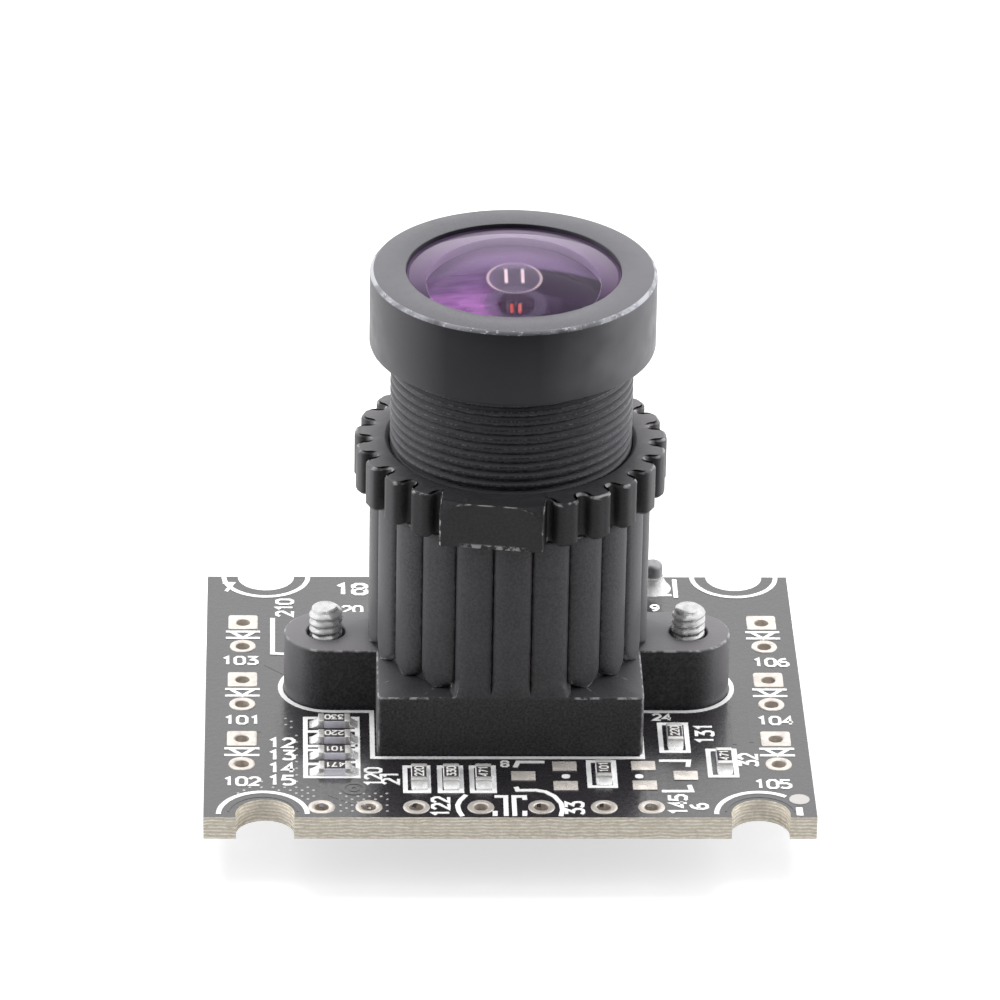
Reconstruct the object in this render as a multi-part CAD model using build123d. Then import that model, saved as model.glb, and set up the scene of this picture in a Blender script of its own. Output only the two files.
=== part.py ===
from build123d import *
import math
import os

# A webcam's camera board: a small circuit board that carries a fluted lens mount,
# a screw-in lens and the lobed lock nut that holds the lens at its focus.
# Millimetres. +Z runs up along the lens, +Y towards the rear edge with the cable socket.
# The origin lies under the middle of the board, level with the socket's lowest face.

# Board
board_length = 30.0
board_depth = 25.0
board_thickness = 1.2
layout_x = 0.13
notch_radius = 1.45
notch_inset = 2.88
front_notch_inset = 0.3
rear_notch_inset = 0.05

# Plated holes and lands
hole_radius = 0.39
small_hole_sides = 8
land_radius = 0.67
land_thickness = 0.05
front_row_inset = 1.0
front_row_offsets = (-9.36, -7.05, -4.72, -1.57, 1.4, 4.47, 6.79)
led_inset = 1.72
led_lead_pitch = 2.54
led_pair_centres = (6.2, 0.13, -5.95)
led_land_side = 1.5

# Lens mount
lens_y = 0.6
mount_width = 13.2
mount_depth = 13.9
mount_base_height = 3.25
mount_tower_height = 8.55
rib_count = 22
rib_radius = 7.0
groove_depth = 0.38
screw_pitch = 18.2
ear_radius = 2.1
chamber_side = 10.0
chamber_height = 2.3
ledge_thickness = 0.6
aperture_side = 6.2

# Mount screws
screw_radius = 0.85
screw_length = 5.9
screw_tip = 0.35
screw_head_radius = 1.55
screw_head_height = 1.0
screw_hole_clearance = 0.1

# Lens barrel
thread_radius = 6.0
thread_clearance = 0.04
thread_depth = 0.28
ring_groove_spacing = 1.6
ring_groove_width = 0.8
ring_groove_count = 3
barrel_length = 18.4
head_radius = 7.05
head_height = 3.95
head_chamfer = 0.15
thread_gap = 5.2
front_bore_radius = 5.28
front_bore_depth = 2.05
stack_bore_radius = 4.6
shoulder_thickness = 1.3
shoulder_radius = 3.9

# Glass and rings inside the lens
glass_clearance = 0.03
front_dome_radius = 12.0
front_rim_drop = 0.4
front_hollow_radius = 9.0
second_thickness = 2.2
second_curve_radius = 20.0
spacer_length = 3.4
spacer_wall = 0.8
stop_thickness = 0.2
stop_radius = 1.3
rear_thickness = 4.6
retainer_height = 0.9
retainer_bore_radius = 3.4
spanner_slot = 0.7

# Lock nut
nut_height = 2.4
nut_seat_gap = 0.02
nut_body_radius = 6.98
nut_tip_radius = 7.75
nut_lobe_width = 1.24
nut_corner_clip = 0.28
nut_positions = 25
nut_tab_span = 3
nut_tab_turn = -8.7
nut_tab_width = 5.1
nut_tab_reach = 7.62
nut_lip_chamfer = 0.22

# Image sensor and filter
sensor_side = 7.8
sensor_thickness = 0.75
cover_glass_side = 7.0
cover_glass_thickness = 0.45
filter_side = 7.6
filter_thickness = 0.3

# Chip resistors and capacitors
chip_length = 1.6
chip_width = 0.8
chip_height = 0.45
fillet_reach = 0.45
fillet_height = 0.36
stack_pitch = 1.6
stack_count = 4
stack_x = -8.56
stack_y = -3.23
front_chips = ((-4.41, -0.11), (-2.83, -0.11), (-1.24, -0.11), (4.7, 0.3))
side_chips = ((8.38, -4.6), (10.72, -7.06))
under_resistors = ((-10.6, 6.2), (-10.6, 4.6), (-10.6, 3.0), (-7.2, 8.6), (-7.2, 10.2), (10.9, -3.0))
under_capacitors = ((-6.6, 4.6), (-6.6, 3.0), (7.0, -3.7), (7.0, -2.1), (10.9, 5.0), (10.9, 6.6),
                    (-11.0, -3.2))
empty_footprints = ((1.76, 0.15, False), (7.72, 0.2, True))
empty_pad_width = 0.9
empty_pad_length = 1.2
empty_pad_reach = 1.03
empty_pad_split = 1.95

# Controller chip with leads on four sides
controller_side = 7.0
controller_height = 1.45
controller_lead_pitch = 0.5
controller_leads_per_side = 12
controller_lead_width = 0.22
controller_lead_reach = 1.0

# Memory chip with leads on two sides
memory_x = 3.4
memory_y = -7.4
memory_length = 4.9
memory_width = 3.9
memory_height = 1.6
memory_lead_pitch = 1.27
memory_leads_per_side = 4
memory_lead_width = 0.41
memory_lead_reach = 1.05

# Regulators
regulator_places = ((-8.4, -8.6), (-4.2, -8.6))
regulator_length = 2.9
regulator_width = 1.6
regulator_height = 1.1
regulator_lead_pitch = 0.95
regulator_lead_width = 0.35
regulator_lead_reach = 0.6

# Leads of every chip
lead_thickness = 0.15
lead_slant_share = 0.4
chip_standoff = 0.1

# Crystal and inductor
crystal_x = -7.4
crystal_y = -4.6
crystal_length = 3.2
crystal_width = 2.5
crystal_base_height = 0.45
crystal_lid_height = 0.3
crystal_lid_margin = 0.25
inductor_x = 10.6
inductor_y = 9.2
inductor_side = 3.0
inductor_height = 1.2
inductor_chamfer = 0.5

# Cable socket
socket_x = 2.5
socket_pins = 5
socket_pitch = 1.25
socket_end = 2.1
socket_depth = 4.3
socket_height = 3.0
socket_wall = 0.6
socket_back_wall = 1.0
pin_width = 0.4
pin_thickness = 0.3
pin_foot = 0.9
pin_gap = 0.2
pin_tip_inset = 0.6
post_radius = 0.5
post_offset = 5.5
post_inset = 1.2
post_proud = 1.6
bracket_thickness = 0.3
bracket_length = 2.4
bracket_height = 2.2
solder_cone_radius = 1.0
solder_cone_top = 0.6
solder_cone_height = 0.8

# Heights that the pieces share
board_bottom = socket_height
board_top = board_bottom + board_thickness
front_edge = -board_depth / 2
rear_edge = board_depth / 2
led_offset = board_length / 2 - led_inset
notch_offset = board_length / 2 - notch_inset
mount_front = lens_y - mount_depth / 2
strip_y = (mount_front + front_edge + front_row_inset + land_radius) / 2
filter_bottom = board_top + chamber_height + ledge_thickness
tower_top = board_top + mount_base_height + mount_tower_height
nut_bottom = tower_top + nut_seat_gap
head_bottom = nut_bottom + nut_height + thread_gap
lens_top = head_bottom + head_height
lens_bottom = lens_top - barrel_length
front_seat = lens_top - front_bore_depth
stack_top = front_seat - shoulder_thickness
bore_radius = thread_radius + thread_clearance
stack_radius = stack_bore_radius - glass_clearance

LOW = (Align.CENTER, Align.CENTER, Align.MIN)
HIGH = (Align.CENTER, Align.CENTER, Align.MAX)


def disc(radius, height, x=0.0, y=0.0, z=0.0):
    return Pos(x, y, z) * Cylinder(radius, height, align=LOW)


def block(length, width, height, x, y, z, align=LOW):
    return Pos(x, y, z) * Box(length, width, height, align=align)


def small_hole(radius):
    # The sides touch the hole's circle from outside; so few of them keep the many holes light
    return RegularPolygon(radius, small_hole_sides, major_radius=False)


def round_pin(radius, length, tip):
    # A pin on z = 0 with a chamfered upper end
    return disc(radius, length - tip) + Pos(0, 0, length - tip) * Cone(radius, radius - tip, tip, align=LOW)


def on_axis(shape):
    return Pos(layout_x, lens_y, 0) * shape


def turned(points):
    # A closed outline in radius and height, turned about the lens axis
    return on_axis(revolve(make_face(Plane.XZ * Polyline(points, close=True)), Axis.Z))


def front_row_holes():
    return [(layout_x + offset, front_edge + front_row_inset) for offset in front_row_offsets]


def led_holes(end):
    # One hole of each lead pair: end is -1 for the round land at the front, 1 for the square one
    return [(layout_x + side * led_offset, centre + end * led_lead_pitch / 2)
            for side in (-1, 1) for centre in led_pair_centres]


def screw_places():
    return [(layout_x + side * screw_pitch / 2, lens_y) for side in (-1, 1)]


def post_places():
    return [(socket_x + side * post_offset, rear_edge - post_inset) for side in (-1, 1)]


def circuit_board():
    outline = Rectangle(board_length, board_depth)
    for side in (-1, 1):
        x = layout_x + side * notch_offset
        outline -= Pos(x, front_edge + front_notch_inset) * Circle(notch_radius)
        outline -= Pos(x, rear_edge - rear_notch_inset) * Circle(notch_radius)
    for x, y in front_row_holes() + led_holes(-1) + led_holes(1):
        outline -= Pos(x, y) * small_hole(hole_radius)
    for x, y in screw_places():
        outline -= Pos(x, y) * small_hole(screw_radius + screw_hole_clearance)
    for x, y in post_places():
        outline -= Pos(x, y) * small_hole(post_radius)
    return [Pos(0, 0, board_bottom) * extrude(outline, board_thickness)]


def plated_lands():
    disc_face = RegularPolygon(land_radius, small_hole_sides)
    square_face = Rectangle(led_land_side, led_land_side)
    round_land = extrude(disc_face - small_hole(hole_radius), land_thickness)
    square_land = extrude(square_face - small_hole(hole_radius), land_thickness)
    lands = [Pos(x, y, board_top) * round_land for x, y in front_row_holes() + led_holes(-1)]
    return lands + [Pos(x, y, board_top) * square_land for x, y in led_holes(1)]


def bare_pads():
    # One pad on one side of each place faces two on the other
    pads = []
    for x, offset, mirrored in empty_footprints:
        y = strip_y + offset
        facing = -1 if mirrored else 1
        pads.append(block(empty_pad_length, empty_pad_width, land_thickness,
                          x - facing * empty_pad_reach, y, board_top))
        for end in (-1, 1):
            pads.append(block(empty_pad_length, empty_pad_width, land_thickness,
                              x + facing * empty_pad_reach, y + end * empty_pad_split / 2, board_top))
    return pads


def rib_outline():
    # Rounded ribs side by side, each an arc from one narrow groove to the next
    step = 2 * math.pi / rib_count
    groove_radius = rib_radius - groove_depth

    def point(radius, angle):
        return (radius * math.sin(angle), radius * math.cos(angle))

    arcs = [ThreePointArc(point(groove_radius, (i - 0.5) * step), point(rib_radius, i * step),
                          point(groove_radius, (i + 0.5) * step)) for i in range(rib_count)]
    return make_face(Curve() + arcs)


def lens_mount():
    base = Rectangle(mount_width, mount_depth) + SlotCenterToCenter(screw_pitch, 2 * ear_radius)
    body = extrude(base, mount_base_height)
    body += Pos(0, 0, mount_base_height) * extrude(rib_outline(), mount_tower_height)
    body -= block(chamber_side, chamber_side, chamber_height, 0, 0, 0)
    body -= block(aperture_side, aperture_side, mount_base_height, 0, 0, 0)
    ledge_top = chamber_height + ledge_thickness
    body -= disc(bore_radius, mount_base_height + mount_tower_height, z=ledge_top)
    for side in (-1, 1):
        body -= disc(screw_radius, mount_base_height, x=side * screw_pitch / 2)
    return [Pos(0, 0, board_top) * on_axis(body)]


def mount_screws():
    shank = round_pin(screw_radius, screw_length, screw_tip)
    head = Cylinder(screw_head_radius, screw_head_height, align=HIGH)
    return [Pos(x, y, board_bottom) * (head + shank) for x, y in screw_places()]


def ring_grooves():
    # Between head and nut a few plain ring grooves, wider apart than its turns, stand for the thread
    points = []
    for i in range(ring_groove_count):
        z = head_bottom - (i + 0.5) * ring_groove_spacing
        points += [(thread_radius, z + ring_groove_width / 2), (thread_radius - thread_depth, z),
                   (thread_radius, z - ring_groove_width / 2)]
    return points


def lens_barrel():
    front_face = [(front_bore_radius, lens_top), (head_radius - head_chamfer, lens_top)]
    side = [(head_radius, lens_top - head_chamfer), (head_radius, head_bottom)]
    thread = [(thread_radius, head_bottom)] + ring_grooves() + [(thread_radius, lens_bottom)]
    stack_bore = [(stack_bore_radius, lens_bottom), (stack_bore_radius, stack_top)]
    shoulder = [(shoulder_radius, stack_top), (shoulder_radius, front_seat), (front_bore_radius, front_seat)]
    return [turned(front_face + side + thread + stack_bore + shoulder)]


def cap_height(curve_radius, rim_radius):
    return curve_radius - math.sqrt(curve_radius ** 2 - rim_radius ** 2)


def ball(radius, top):
    # Its poles lie to the front and rear, clear of the glass that it shapes
    return Pos(0, 0, top - radius) * Rot(90, 0, 0) * Sphere(radius)


def front_element():
    rim = front_bore_radius - glass_clearance
    bottom = front_seat + glass_clearance
    apex = lens_top - front_rim_drop + cap_height(front_dome_radius, rim)
    blank = disc(rim, apex - bottom, z=bottom)
    glass = blank & ball(front_dome_radius, apex)
    hollow = ball(front_hollow_radius, bottom + cap_height(front_hollow_radius, shoulder_radius))
    return [on_axis(glass - hollow)]


def stack_levels():
    second_top = stack_top - glass_clearance
    spacer_top = second_top - second_thickness
    stop_top = spacer_top - spacer_length
    rear_top = stop_top - stop_thickness
    retainer_top = rear_top - rear_thickness - glass_clearance
    return second_top, spacer_top, stop_top, rear_top, retainer_top


def second_element():
    bottom = stack_levels()[0] - second_thickness
    blank = disc(stack_radius, second_thickness, z=bottom)
    depth = cap_height(second_curve_radius, stack_radius - spacer_wall)
    return [on_axis(blank - ball(second_curve_radius, bottom + depth))]


def spacer_ring():
    ring = disc(stack_radius, spacer_length) - disc(stack_radius - spacer_wall, spacer_length)
    return [on_axis(Pos(0, 0, stack_levels()[1] - spacer_length) * ring)]


def aperture_stop():
    plate = disc(stack_radius, stop_thickness) - disc(stop_radius, stop_thickness)
    return [on_axis(Pos(0, 0, stack_levels()[2] - stop_thickness) * plate)]


def rear_element():
    bottom = stack_levels()[3] - rear_thickness
    return [on_axis(disc(stack_radius, rear_thickness, z=bottom))]


def rear_retainer():
    top = stack_levels()[4]
    ring = disc(stack_bore_radius, retainer_height) - disc(retainer_bore_radius, retainer_height)
    ring -= block(2 * stack_bore_radius, spanner_slot, retainer_height / 2, 0, 0, 0)
    return [on_axis(Pos(0, 0, top - retainer_height) * ring)]


def nut_lobe():
    # Straight flanks and a tip with clipped corners, drawn from the axis to the front
    half = nut_lobe_width / 2
    flank_end = nut_corner_clip - nut_tip_radius
    tip_half = half - nut_corner_clip
    return make_face(Polyline((half, 0), (half, flank_end), (tip_half, -nut_tip_radius),
                              (-tip_half, -nut_tip_radius), (-half, flank_end), (-half, 0), close=True))


def lock_nut():
    step = 360 / nut_positions
    outline = Circle(nut_body_radius)
    for i in range(nut_positions):
        from_tab = min(i, nut_positions - i)
        if from_tab > nut_tab_span // 2:
            outline += Rot(0, 0, i * step) * nut_lobe()
    outline += Pos(0, -nut_tab_reach / 2) * Rectangle(nut_tab_width, nut_tab_reach)
    nut = extrude(outline, nut_height)
    nut -= disc(bore_radius, nut_height)
    nut -= Pos(0, 0, nut_height - nut_lip_chamfer) * Cone(bore_radius, bore_radius + nut_lip_chamfer,
                                                          nut_lip_chamfer, align=LOW)
    return [on_axis(Pos(0, 0, nut_bottom) * Rot(0, 0, nut_tab_turn) * nut)]


def image_sensor():
    return [on_axis(block(sensor_side, sensor_side, sensor_thickness, 0, 0, board_top))]


def sensor_cover_glass():
    z = board_top + sensor_thickness
    return [on_axis(block(cover_glass_side, cover_glass_side, cover_glass_thickness, 0, 0, z))]


def ir_cut_filter():
    return [on_axis(block(filter_side, filter_side, filter_thickness, 0, 0, filter_bottom))]


def stacked_chips():
    return [(stack_x, stack_y - i * stack_pitch) for i in range(stack_count)]


def upright_chips():
    return [(x, strip_y + offset) for x, offset in front_chips] + list(side_chips)


def chip(x, y, upright, under):
    length, width = (chip_width, chip_length) if upright else (chip_length, chip_width)
    if under:
        return block(length, width, chip_height, x, y, board_bottom, HIGH)
    return block(length, width, chip_height, x, y, board_top)


def chip_resistors():
    chips = [chip(x, y, False, False) for x, y in stacked_chips()]
    chips += [chip(x, y, True, False) for x, y in upright_chips()]
    chips += [chip(x, y, False, True) for x, y in under_resistors]
    return chips


def chip_capacitors():
    return [chip(x, y, False, True) for x, y in under_capacitors]


def solder_fillet():
    # A wedge that rises to the end face of a chip, which lies at x = 0
    outline = Plane.XZ * Polyline((0, 0), (fillet_reach, 0), (0, fillet_height), close=True)
    return extrude(make_face(outline), chip_width / 2, both=True)


def solder_cone():
    # A few sided cone round a post, with the post's hole through it
    slope = math.degrees(math.atan((solder_cone_radius - solder_cone_top) / solder_cone_height))
    cone = extrude(RegularPolygon(solder_cone_radius, small_hole_sides), solder_cone_height, taper=slope)
    return cone - extrude(small_hole(post_radius), solder_cone_height)


def solder_joints():
    joints = []
    places = [(x, y, 0, False) for x, y in stacked_chips()]
    places += [(x, y, 90, False) for x, y in upright_chips()]
    places += [(x, y, 0, True) for x, y in under_resistors + under_capacitors]
    for x, y, turn, under in places:
        for end in (0, 180):
            wedge = Rot(0, 0, turn + end) * Pos(chip_length / 2, 0, 0) * solder_fillet()
            if under:
                wedge = mirror(wedge, Plane.XY)
            joints.append(Pos(x, y, board_bottom if under else board_top) * wedge)
    for x, y in post_places():
        joints.append(Pos(x, y, board_top) * solder_cone())
    return joints


def gull_lead(reach, width, body_height):
    # A bent lead that slants from the body's side at x = 0, half way up, to a flat foot on z = 0
    level = chip_standoff + body_height / 2
    t = lead_thickness
    heel = reach * lead_slant_share
    outline = Plane.XZ * Polyline((0, level - t), (heel, 0), (reach, 0), (reach, t), (heel + t, t),
                                  (0, level + t), close=True)
    return extrude(make_face(outline), width / 2, both=True)


def row_of_leads(count, pitch, side_distance, lead):
    first = -(count - 1) / 2 * pitch
    return [Pos(side_distance, first + i * pitch, 0) * lead for i in range(count)]


def underneath(shapes, x, y):
    # What is modelled standing on z = 0 hangs under the board instead
    return [Pos(x, y, board_bottom) * mirror(shape, Plane.XY) for shape in shapes]


def chip_body(length, width, height, shoulder):
    body = block(length, width, height, 0, 0, chip_standoff)
    return chamfer(body.edges().group_by(Axis.Z)[-1], shoulder)


def controller_chip():
    body = chip_body(controller_side, controller_side, controller_height, 2 * lead_thickness)
    return underneath([body], layout_x, lens_y)


def controller_leads():
    lead = gull_lead(controller_lead_reach, controller_lead_width, controller_height)
    leads = []
    row = row_of_leads(controller_leads_per_side, controller_lead_pitch, controller_side / 2, lead)
    for turn in range(0, 360, 90):
        leads += [Rot(0, 0, turn) * placed for placed in row]
    return underneath(leads, layout_x, lens_y)


def memory_chip():
    body = chip_body(memory_length, memory_width, memory_height, 2 * lead_thickness)
    return underneath([body], memory_x, memory_y)


def memory_leads():
    lead = gull_lead(memory_lead_reach, memory_lead_width, memory_height)
    leads = []
    row = row_of_leads(memory_leads_per_side, memory_lead_pitch, memory_width / 2, lead)
    for turn in (90, 270):
        leads += [Rot(0, 0, turn) * placed for placed in row]
    return underneath(leads, memory_x, memory_y)


def regulator_chips():
    chips = []
    body = chip_body(regulator_length, regulator_width, regulator_height, lead_thickness)
    for x, y in regulator_places:
        chips += underneath([body], x, y)
    return chips


def regulator_leads():
    lead = gull_lead(regulator_lead_reach, regulator_lead_width, regulator_height)
    three = row_of_leads(3, regulator_lead_pitch, regulator_width / 2, lead)
    two = row_of_leads(2, 2 * regulator_lead_pitch, regulator_width / 2, lead)
    leads = [Rot(0, 0, 90) * placed for placed in three] + [Rot(0, 0, 270) * placed for placed in two]
    placed_leads = []
    for x, y in regulator_places:
        placed_leads += underneath(leads, x, y)
    return placed_leads


def crystal():
    base = block(crystal_length, crystal_width, crystal_base_height, 0, 0, 0)
    lid = block(crystal_length - crystal_lid_margin, crystal_width - crystal_lid_margin,
                crystal_lid_height, 0, 0, crystal_base_height)
    return underneath([base + lid], crystal_x, crystal_y)


def power_inductor():
    body = block(inductor_side, inductor_side, inductor_height, 0, 0, 0)
    body = chamfer(body.edges().filter_by(Axis.Z), inductor_chamfer)
    return underneath([body], inductor_x, inductor_y)


def socket_width():
    return (socket_pins - 1) * socket_pitch + 2 * socket_end


def socket_housing():
    # Modelled upside down, standing on z = 0, with its mouth towards the rear edge
    width = socket_width()
    centre_y = rear_edge - socket_depth / 2
    shell = block(width, socket_depth, socket_height, 0, 0, 0)
    mouth_depth = socket_depth - socket_back_wall
    mouth = block(width - 2 * socket_wall, mouth_depth, socket_height - 2 * socket_wall,
                  0, socket_back_wall / 2, socket_wall)
    key = block(socket_pitch, mouth_depth, socket_wall, 0, socket_back_wall / 2, socket_height - socket_wall)
    shell -= mouth + key
    for x in pin_offsets():
        shell -= block(pin_width, socket_back_wall, pin_thickness, x,
                       -(socket_depth - socket_back_wall) / 2, pin_level())
    return underneath([shell], socket_x, centre_y)


def pin_offsets():
    return [(i - (socket_pins - 1) / 2) * socket_pitch for i in range(socket_pins)]


def pin_level():
    return socket_height / 2 - pin_thickness / 2


def contact_pins():
    # Each blade runs from the mouth through the back wall, bends to the board and ends in a foot
    tip = rear_edge - pin_tip_inset
    knee = rear_edge - socket_depth - pin_gap - pin_thickness
    inner = knee + pin_thickness
    toe = knee - pin_foot
    level = pin_level()
    upper = level + pin_thickness
    outline = Plane.YZ * Polyline((tip, upper), (knee, upper), (knee, pin_thickness), (toe, pin_thickness),
                                  (toe, 0), (inner, 0), (inner, level), (tip, level), close=True)
    blade = extrude(make_face(outline), pin_width / 2, both=True)
    return underneath([Pos(x, 0, 0) * blade for x in pin_offsets()], socket_x, 0)


def socket_posts():
    # A bracket on each end wall of the housing, with a round post that comes up through the board
    posts = []
    for (x, y), side in zip(post_places(), (-1, 1)):
        wall_x = socket_x + side * (socket_width() / 2 + bracket_thickness / 2)
        plate = block(bracket_thickness, bracket_length, bracket_height, wall_x, y, board_bottom, HIGH)
        foot_length = post_offset + post_radius - socket_width() / 2
        plate += block(foot_length, bracket_length, bracket_thickness,
                       x + side * (post_radius - foot_length / 2), y, board_bottom, HIGH)
        posts.append(plate + disc(post_radius, board_thickness + post_proud, x, y, board_bottom))
    return posts


NODES = {
    "circuit_board": circuit_board,
    "plated_lands": plated_lands,
    "bare_pads": bare_pads,
    "lens_mount": lens_mount,
    "mount_screws": mount_screws,
    "lens_barrel": lens_barrel,
    "front_element": front_element,
    "second_element": second_element,
    "spacer_ring": spacer_ring,
    "aperture_stop": aperture_stop,
    "rear_element": rear_element,
    "rear_retainer": rear_retainer,
    "lock_nut": lock_nut,
    "image_sensor": image_sensor,
    "sensor_cover_glass": sensor_cover_glass,
    "ir_cut_filter": ir_cut_filter,
    "chip_resistors": chip_resistors,
    "chip_capacitors": chip_capacitors,
    "solder_joints": solder_joints,
    "controller_chip": controller_chip,
    "controller_leads": controller_leads,
    "memory_chip": memory_chip,
    "memory_leads": memory_leads,
    "regulator_chips": regulator_chips,
    "regulator_leads": regulator_leads,
    "crystal": crystal,
    "power_inductor": power_inductor,
    "socket_housing": socket_housing,
    "contact_pins": contact_pins,
    "socket_posts": socket_posts,
}


def write_parts():
    os.makedirs("parts", exist_ok=True)
    for name, build in NODES.items():
        solids = []
        for shape in build():
            solids += shape.solids()
        body = solids[0] if len(solids) == 1 else Compound(children=solids)
        body.label = name
        export_step(body, os.path.join("parts", name + ".step"))


write_parts()
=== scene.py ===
import math

import bpy
import numpy as np
from mathutils import Matrix, Vector


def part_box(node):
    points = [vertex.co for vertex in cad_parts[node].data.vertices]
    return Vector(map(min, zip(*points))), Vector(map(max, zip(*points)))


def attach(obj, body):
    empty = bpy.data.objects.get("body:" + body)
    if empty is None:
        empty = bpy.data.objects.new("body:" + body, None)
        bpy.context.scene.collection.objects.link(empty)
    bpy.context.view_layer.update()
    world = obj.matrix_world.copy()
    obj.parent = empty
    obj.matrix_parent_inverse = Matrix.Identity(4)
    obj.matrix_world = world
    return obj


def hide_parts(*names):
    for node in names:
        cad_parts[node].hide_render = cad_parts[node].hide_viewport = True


bl_info = {
    "name": "Camera board",
    "version": (1, 0, 0),
    "blender": (4, 5, 0),
    "location": "View3D > Sidebar > Camera board",
    "description": "Dresses the webcam's circuit board, lens mount, lock nut and lens",
    "category": "Object",
}

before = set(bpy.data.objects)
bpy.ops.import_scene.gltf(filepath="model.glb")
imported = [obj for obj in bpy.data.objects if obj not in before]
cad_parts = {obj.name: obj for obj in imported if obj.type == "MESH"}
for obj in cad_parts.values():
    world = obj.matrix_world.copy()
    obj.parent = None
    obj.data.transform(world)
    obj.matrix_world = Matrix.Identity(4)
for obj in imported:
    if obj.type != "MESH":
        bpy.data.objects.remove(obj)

MM = 0.001
TAU = 2 * math.pi


def box(node):
    """Low and high corners of a CAD node, in millimetres."""
    low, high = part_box(node)
    return np.array(low) / MM, np.array(high) / MM


BOARD_LOW, BOARD_HIGH = box("circuit_board")
BARREL_LOW, BARREL_HIGH = box("lens_barrel")
MOUNT_LOW, MOUNT_HIGH = box("lens_mount")
NUT_LOW, NUT_HIGH = box("lock_nut")
GLASS_LOW, GLASS_HIGH = box("front_element")
TOP = float(BOARD_HIGH[2])
BOTTOM = float(BOARD_LOW[2])
AXIS = (BARREL_LOW + BARREL_HIGH)[:2] / 2


# Shapes: a shape is a pair of points, in millimetres, and a list of arrays of polygons

def grid(points, close_rows=False, close_columns=True, caps=True):
    """Quads over a rows by columns array of points, with a polygon over each open end of the rows."""
    rows, columns = points.shape[:2]
    index = np.arange(rows * columns).reshape(rows, columns)
    if close_columns:
        index = np.hstack([index, index[:, :1]])
    if close_rows:
        index = np.vstack([index, index[:1]])
    quads = np.stack([index[:-1, :-1], index[:-1, 1:], index[1:, 1:], index[1:, :-1]], -1).reshape(-1, 4)
    polygons = [quads]
    if caps and not close_rows:
        polygons += [index[:1, :columns][:, ::-1], index[-1:, :columns]]
    return outward((points.reshape(-1, 3), polygons))


def outward(shape):
    """The same closed shape with its polygons turned so that its signed volume is positive."""
    points, polygons = shape
    volume = 0.0
    for group in polygons:
        first = points[group[:, 0]]
        for k in range(1, group.shape[1] - 1):
            volume += np.einsum("ij,ij->", first, np.cross(points[group[:, k]], points[group[:, k + 1]]))
    return (points, [group[:, ::-1] for group in polygons]) if volume < 0 else shape


def moved(shape, x=0.0, y=0.0, z=0.0, turn=0.0):
    """The shape turned about Z by an angle in degrees and then moved."""
    c, s = math.cos(math.radians(turn)), math.sin(math.radians(turn))
    return shape[0] @ np.array([[c, s, 0], [-s, c, 0], [0, 0, 1.0]]) + (x, y, z), shape[1]


def flipped(shape, level):
    """The shape turned over about the X direction, so that what stood on zero hangs from a level."""
    return shape[0] * (1, -1, -1) + (0, 0, level), shape[1]


def joined(shapes):
    """One shape from several, with the polygons of each kept apart by number of sides."""
    points, groups, base = [], {}, 0
    for shape_points, polygons in shapes:
        points.append(shape_points)
        for group in polygons:
            groups.setdefault(group.shape[1], []).append(group + base)
        base += len(shape_points)
    return np.vstack(points), [np.vstack(group) for group in groups.values()]


def spun(radius, height, columns=96, close=True, x=0.0, y=0.0):
    """A profile turned about Z: x = r cos a, y = r sin a, for arrays or a grid of r and z."""
    radius = np.atleast_2d(np.asarray(radius, float))
    radius = radius.T if radius.shape[0] == 1 else radius
    height = np.asarray(height, float).reshape(-1, 1) * np.ones_like(radius)
    angle = np.arange(columns) * TAU / columns
    points = np.stack([radius * np.cos(angle) + x, radius * np.sin(angle) + y,
                       height * np.ones_like(angle)], -1)
    return grid(points, close_rows=close)


def rounded_box(size, edge, centre=(0, 0, 0), steps=3):
    """Each point is a corner's centre plus a direction times the edge radius, for directions all round."""
    half = np.array(size) / 2 - edge
    quarter = np.linspace(0, math.pi / 2, steps)
    across = np.concatenate([quarter + k * math.pi / 2 for k in range(4)])
    signs = np.repeat([(1, 1), (-1, 1), (-1, -1), (1, -1)], steps, axis=0)
    up = np.concatenate([quarter - math.pi / 2, quarter])
    side = np.repeat([-1, 1], steps)
    points = np.stack([signs[:, 0] * half[0] + edge * np.cos(up)[:, None] * np.cos(across),
                       signs[:, 1] * half[1] + edge * np.cos(up)[:, None] * np.sin(across),
                       (side * half[2] + edge * np.sin(up))[:, None] * np.ones(4 * steps)], -1)
    return grid(points + np.array(centre))


def ribbon(path, width, low, high, close=False):
    """A flat strip of one width along a path in the plane, between two levels, with mitred corners."""
    path = np.asarray(path, float)
    if close:
        ahead, behind = np.roll(path, -1, 0) - path, path - np.roll(path, 1, 0)
    else:
        step = np.diff(path, axis=0)
        ahead, behind = np.vstack([step, step[-1:]]), np.vstack([step[:1], step])
    ahead /= np.linalg.norm(ahead, axis=1, keepdims=True)
    behind /= np.linalg.norm(behind, axis=1, keepdims=True)
    along = ahead + behind
    along /= np.maximum(np.linalg.norm(along, axis=1, keepdims=True), 1e-6)
    mitre = np.clip(np.einsum("ij,ij->i", along, ahead), 0.5, 1)[:, None]
    normal = np.stack([-along[:, 1], along[:, 0]], -1) * width / 2 / mitre
    left, right = path + normal, path - normal
    level = np.ones((len(path), 1))
    ring = [np.hstack([left, low * level]), np.hstack([left, high * level]),
            np.hstack([right, high * level]), np.hstack([right, low * level])]
    return grid(np.stack(ring, 1), close_rows=close)


def arc(x, y, radius, start=0.0, end=360.0, steps=40):
    """Points round a centre from one angle to another, in degrees."""
    angle = np.radians(np.linspace(start, end, steps))
    return np.stack([x + radius * np.cos(angle), y + radius * np.sin(angle)], -1)


def plate(outline, low, high):
    """A flat plate with an outline in the plane, between two levels."""
    outline = np.asarray(outline, float)
    level = np.ones((len(outline), 1))
    return grid(np.stack([np.hstack([outline, low * level]), np.hstack([outline, high * level])]))


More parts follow.
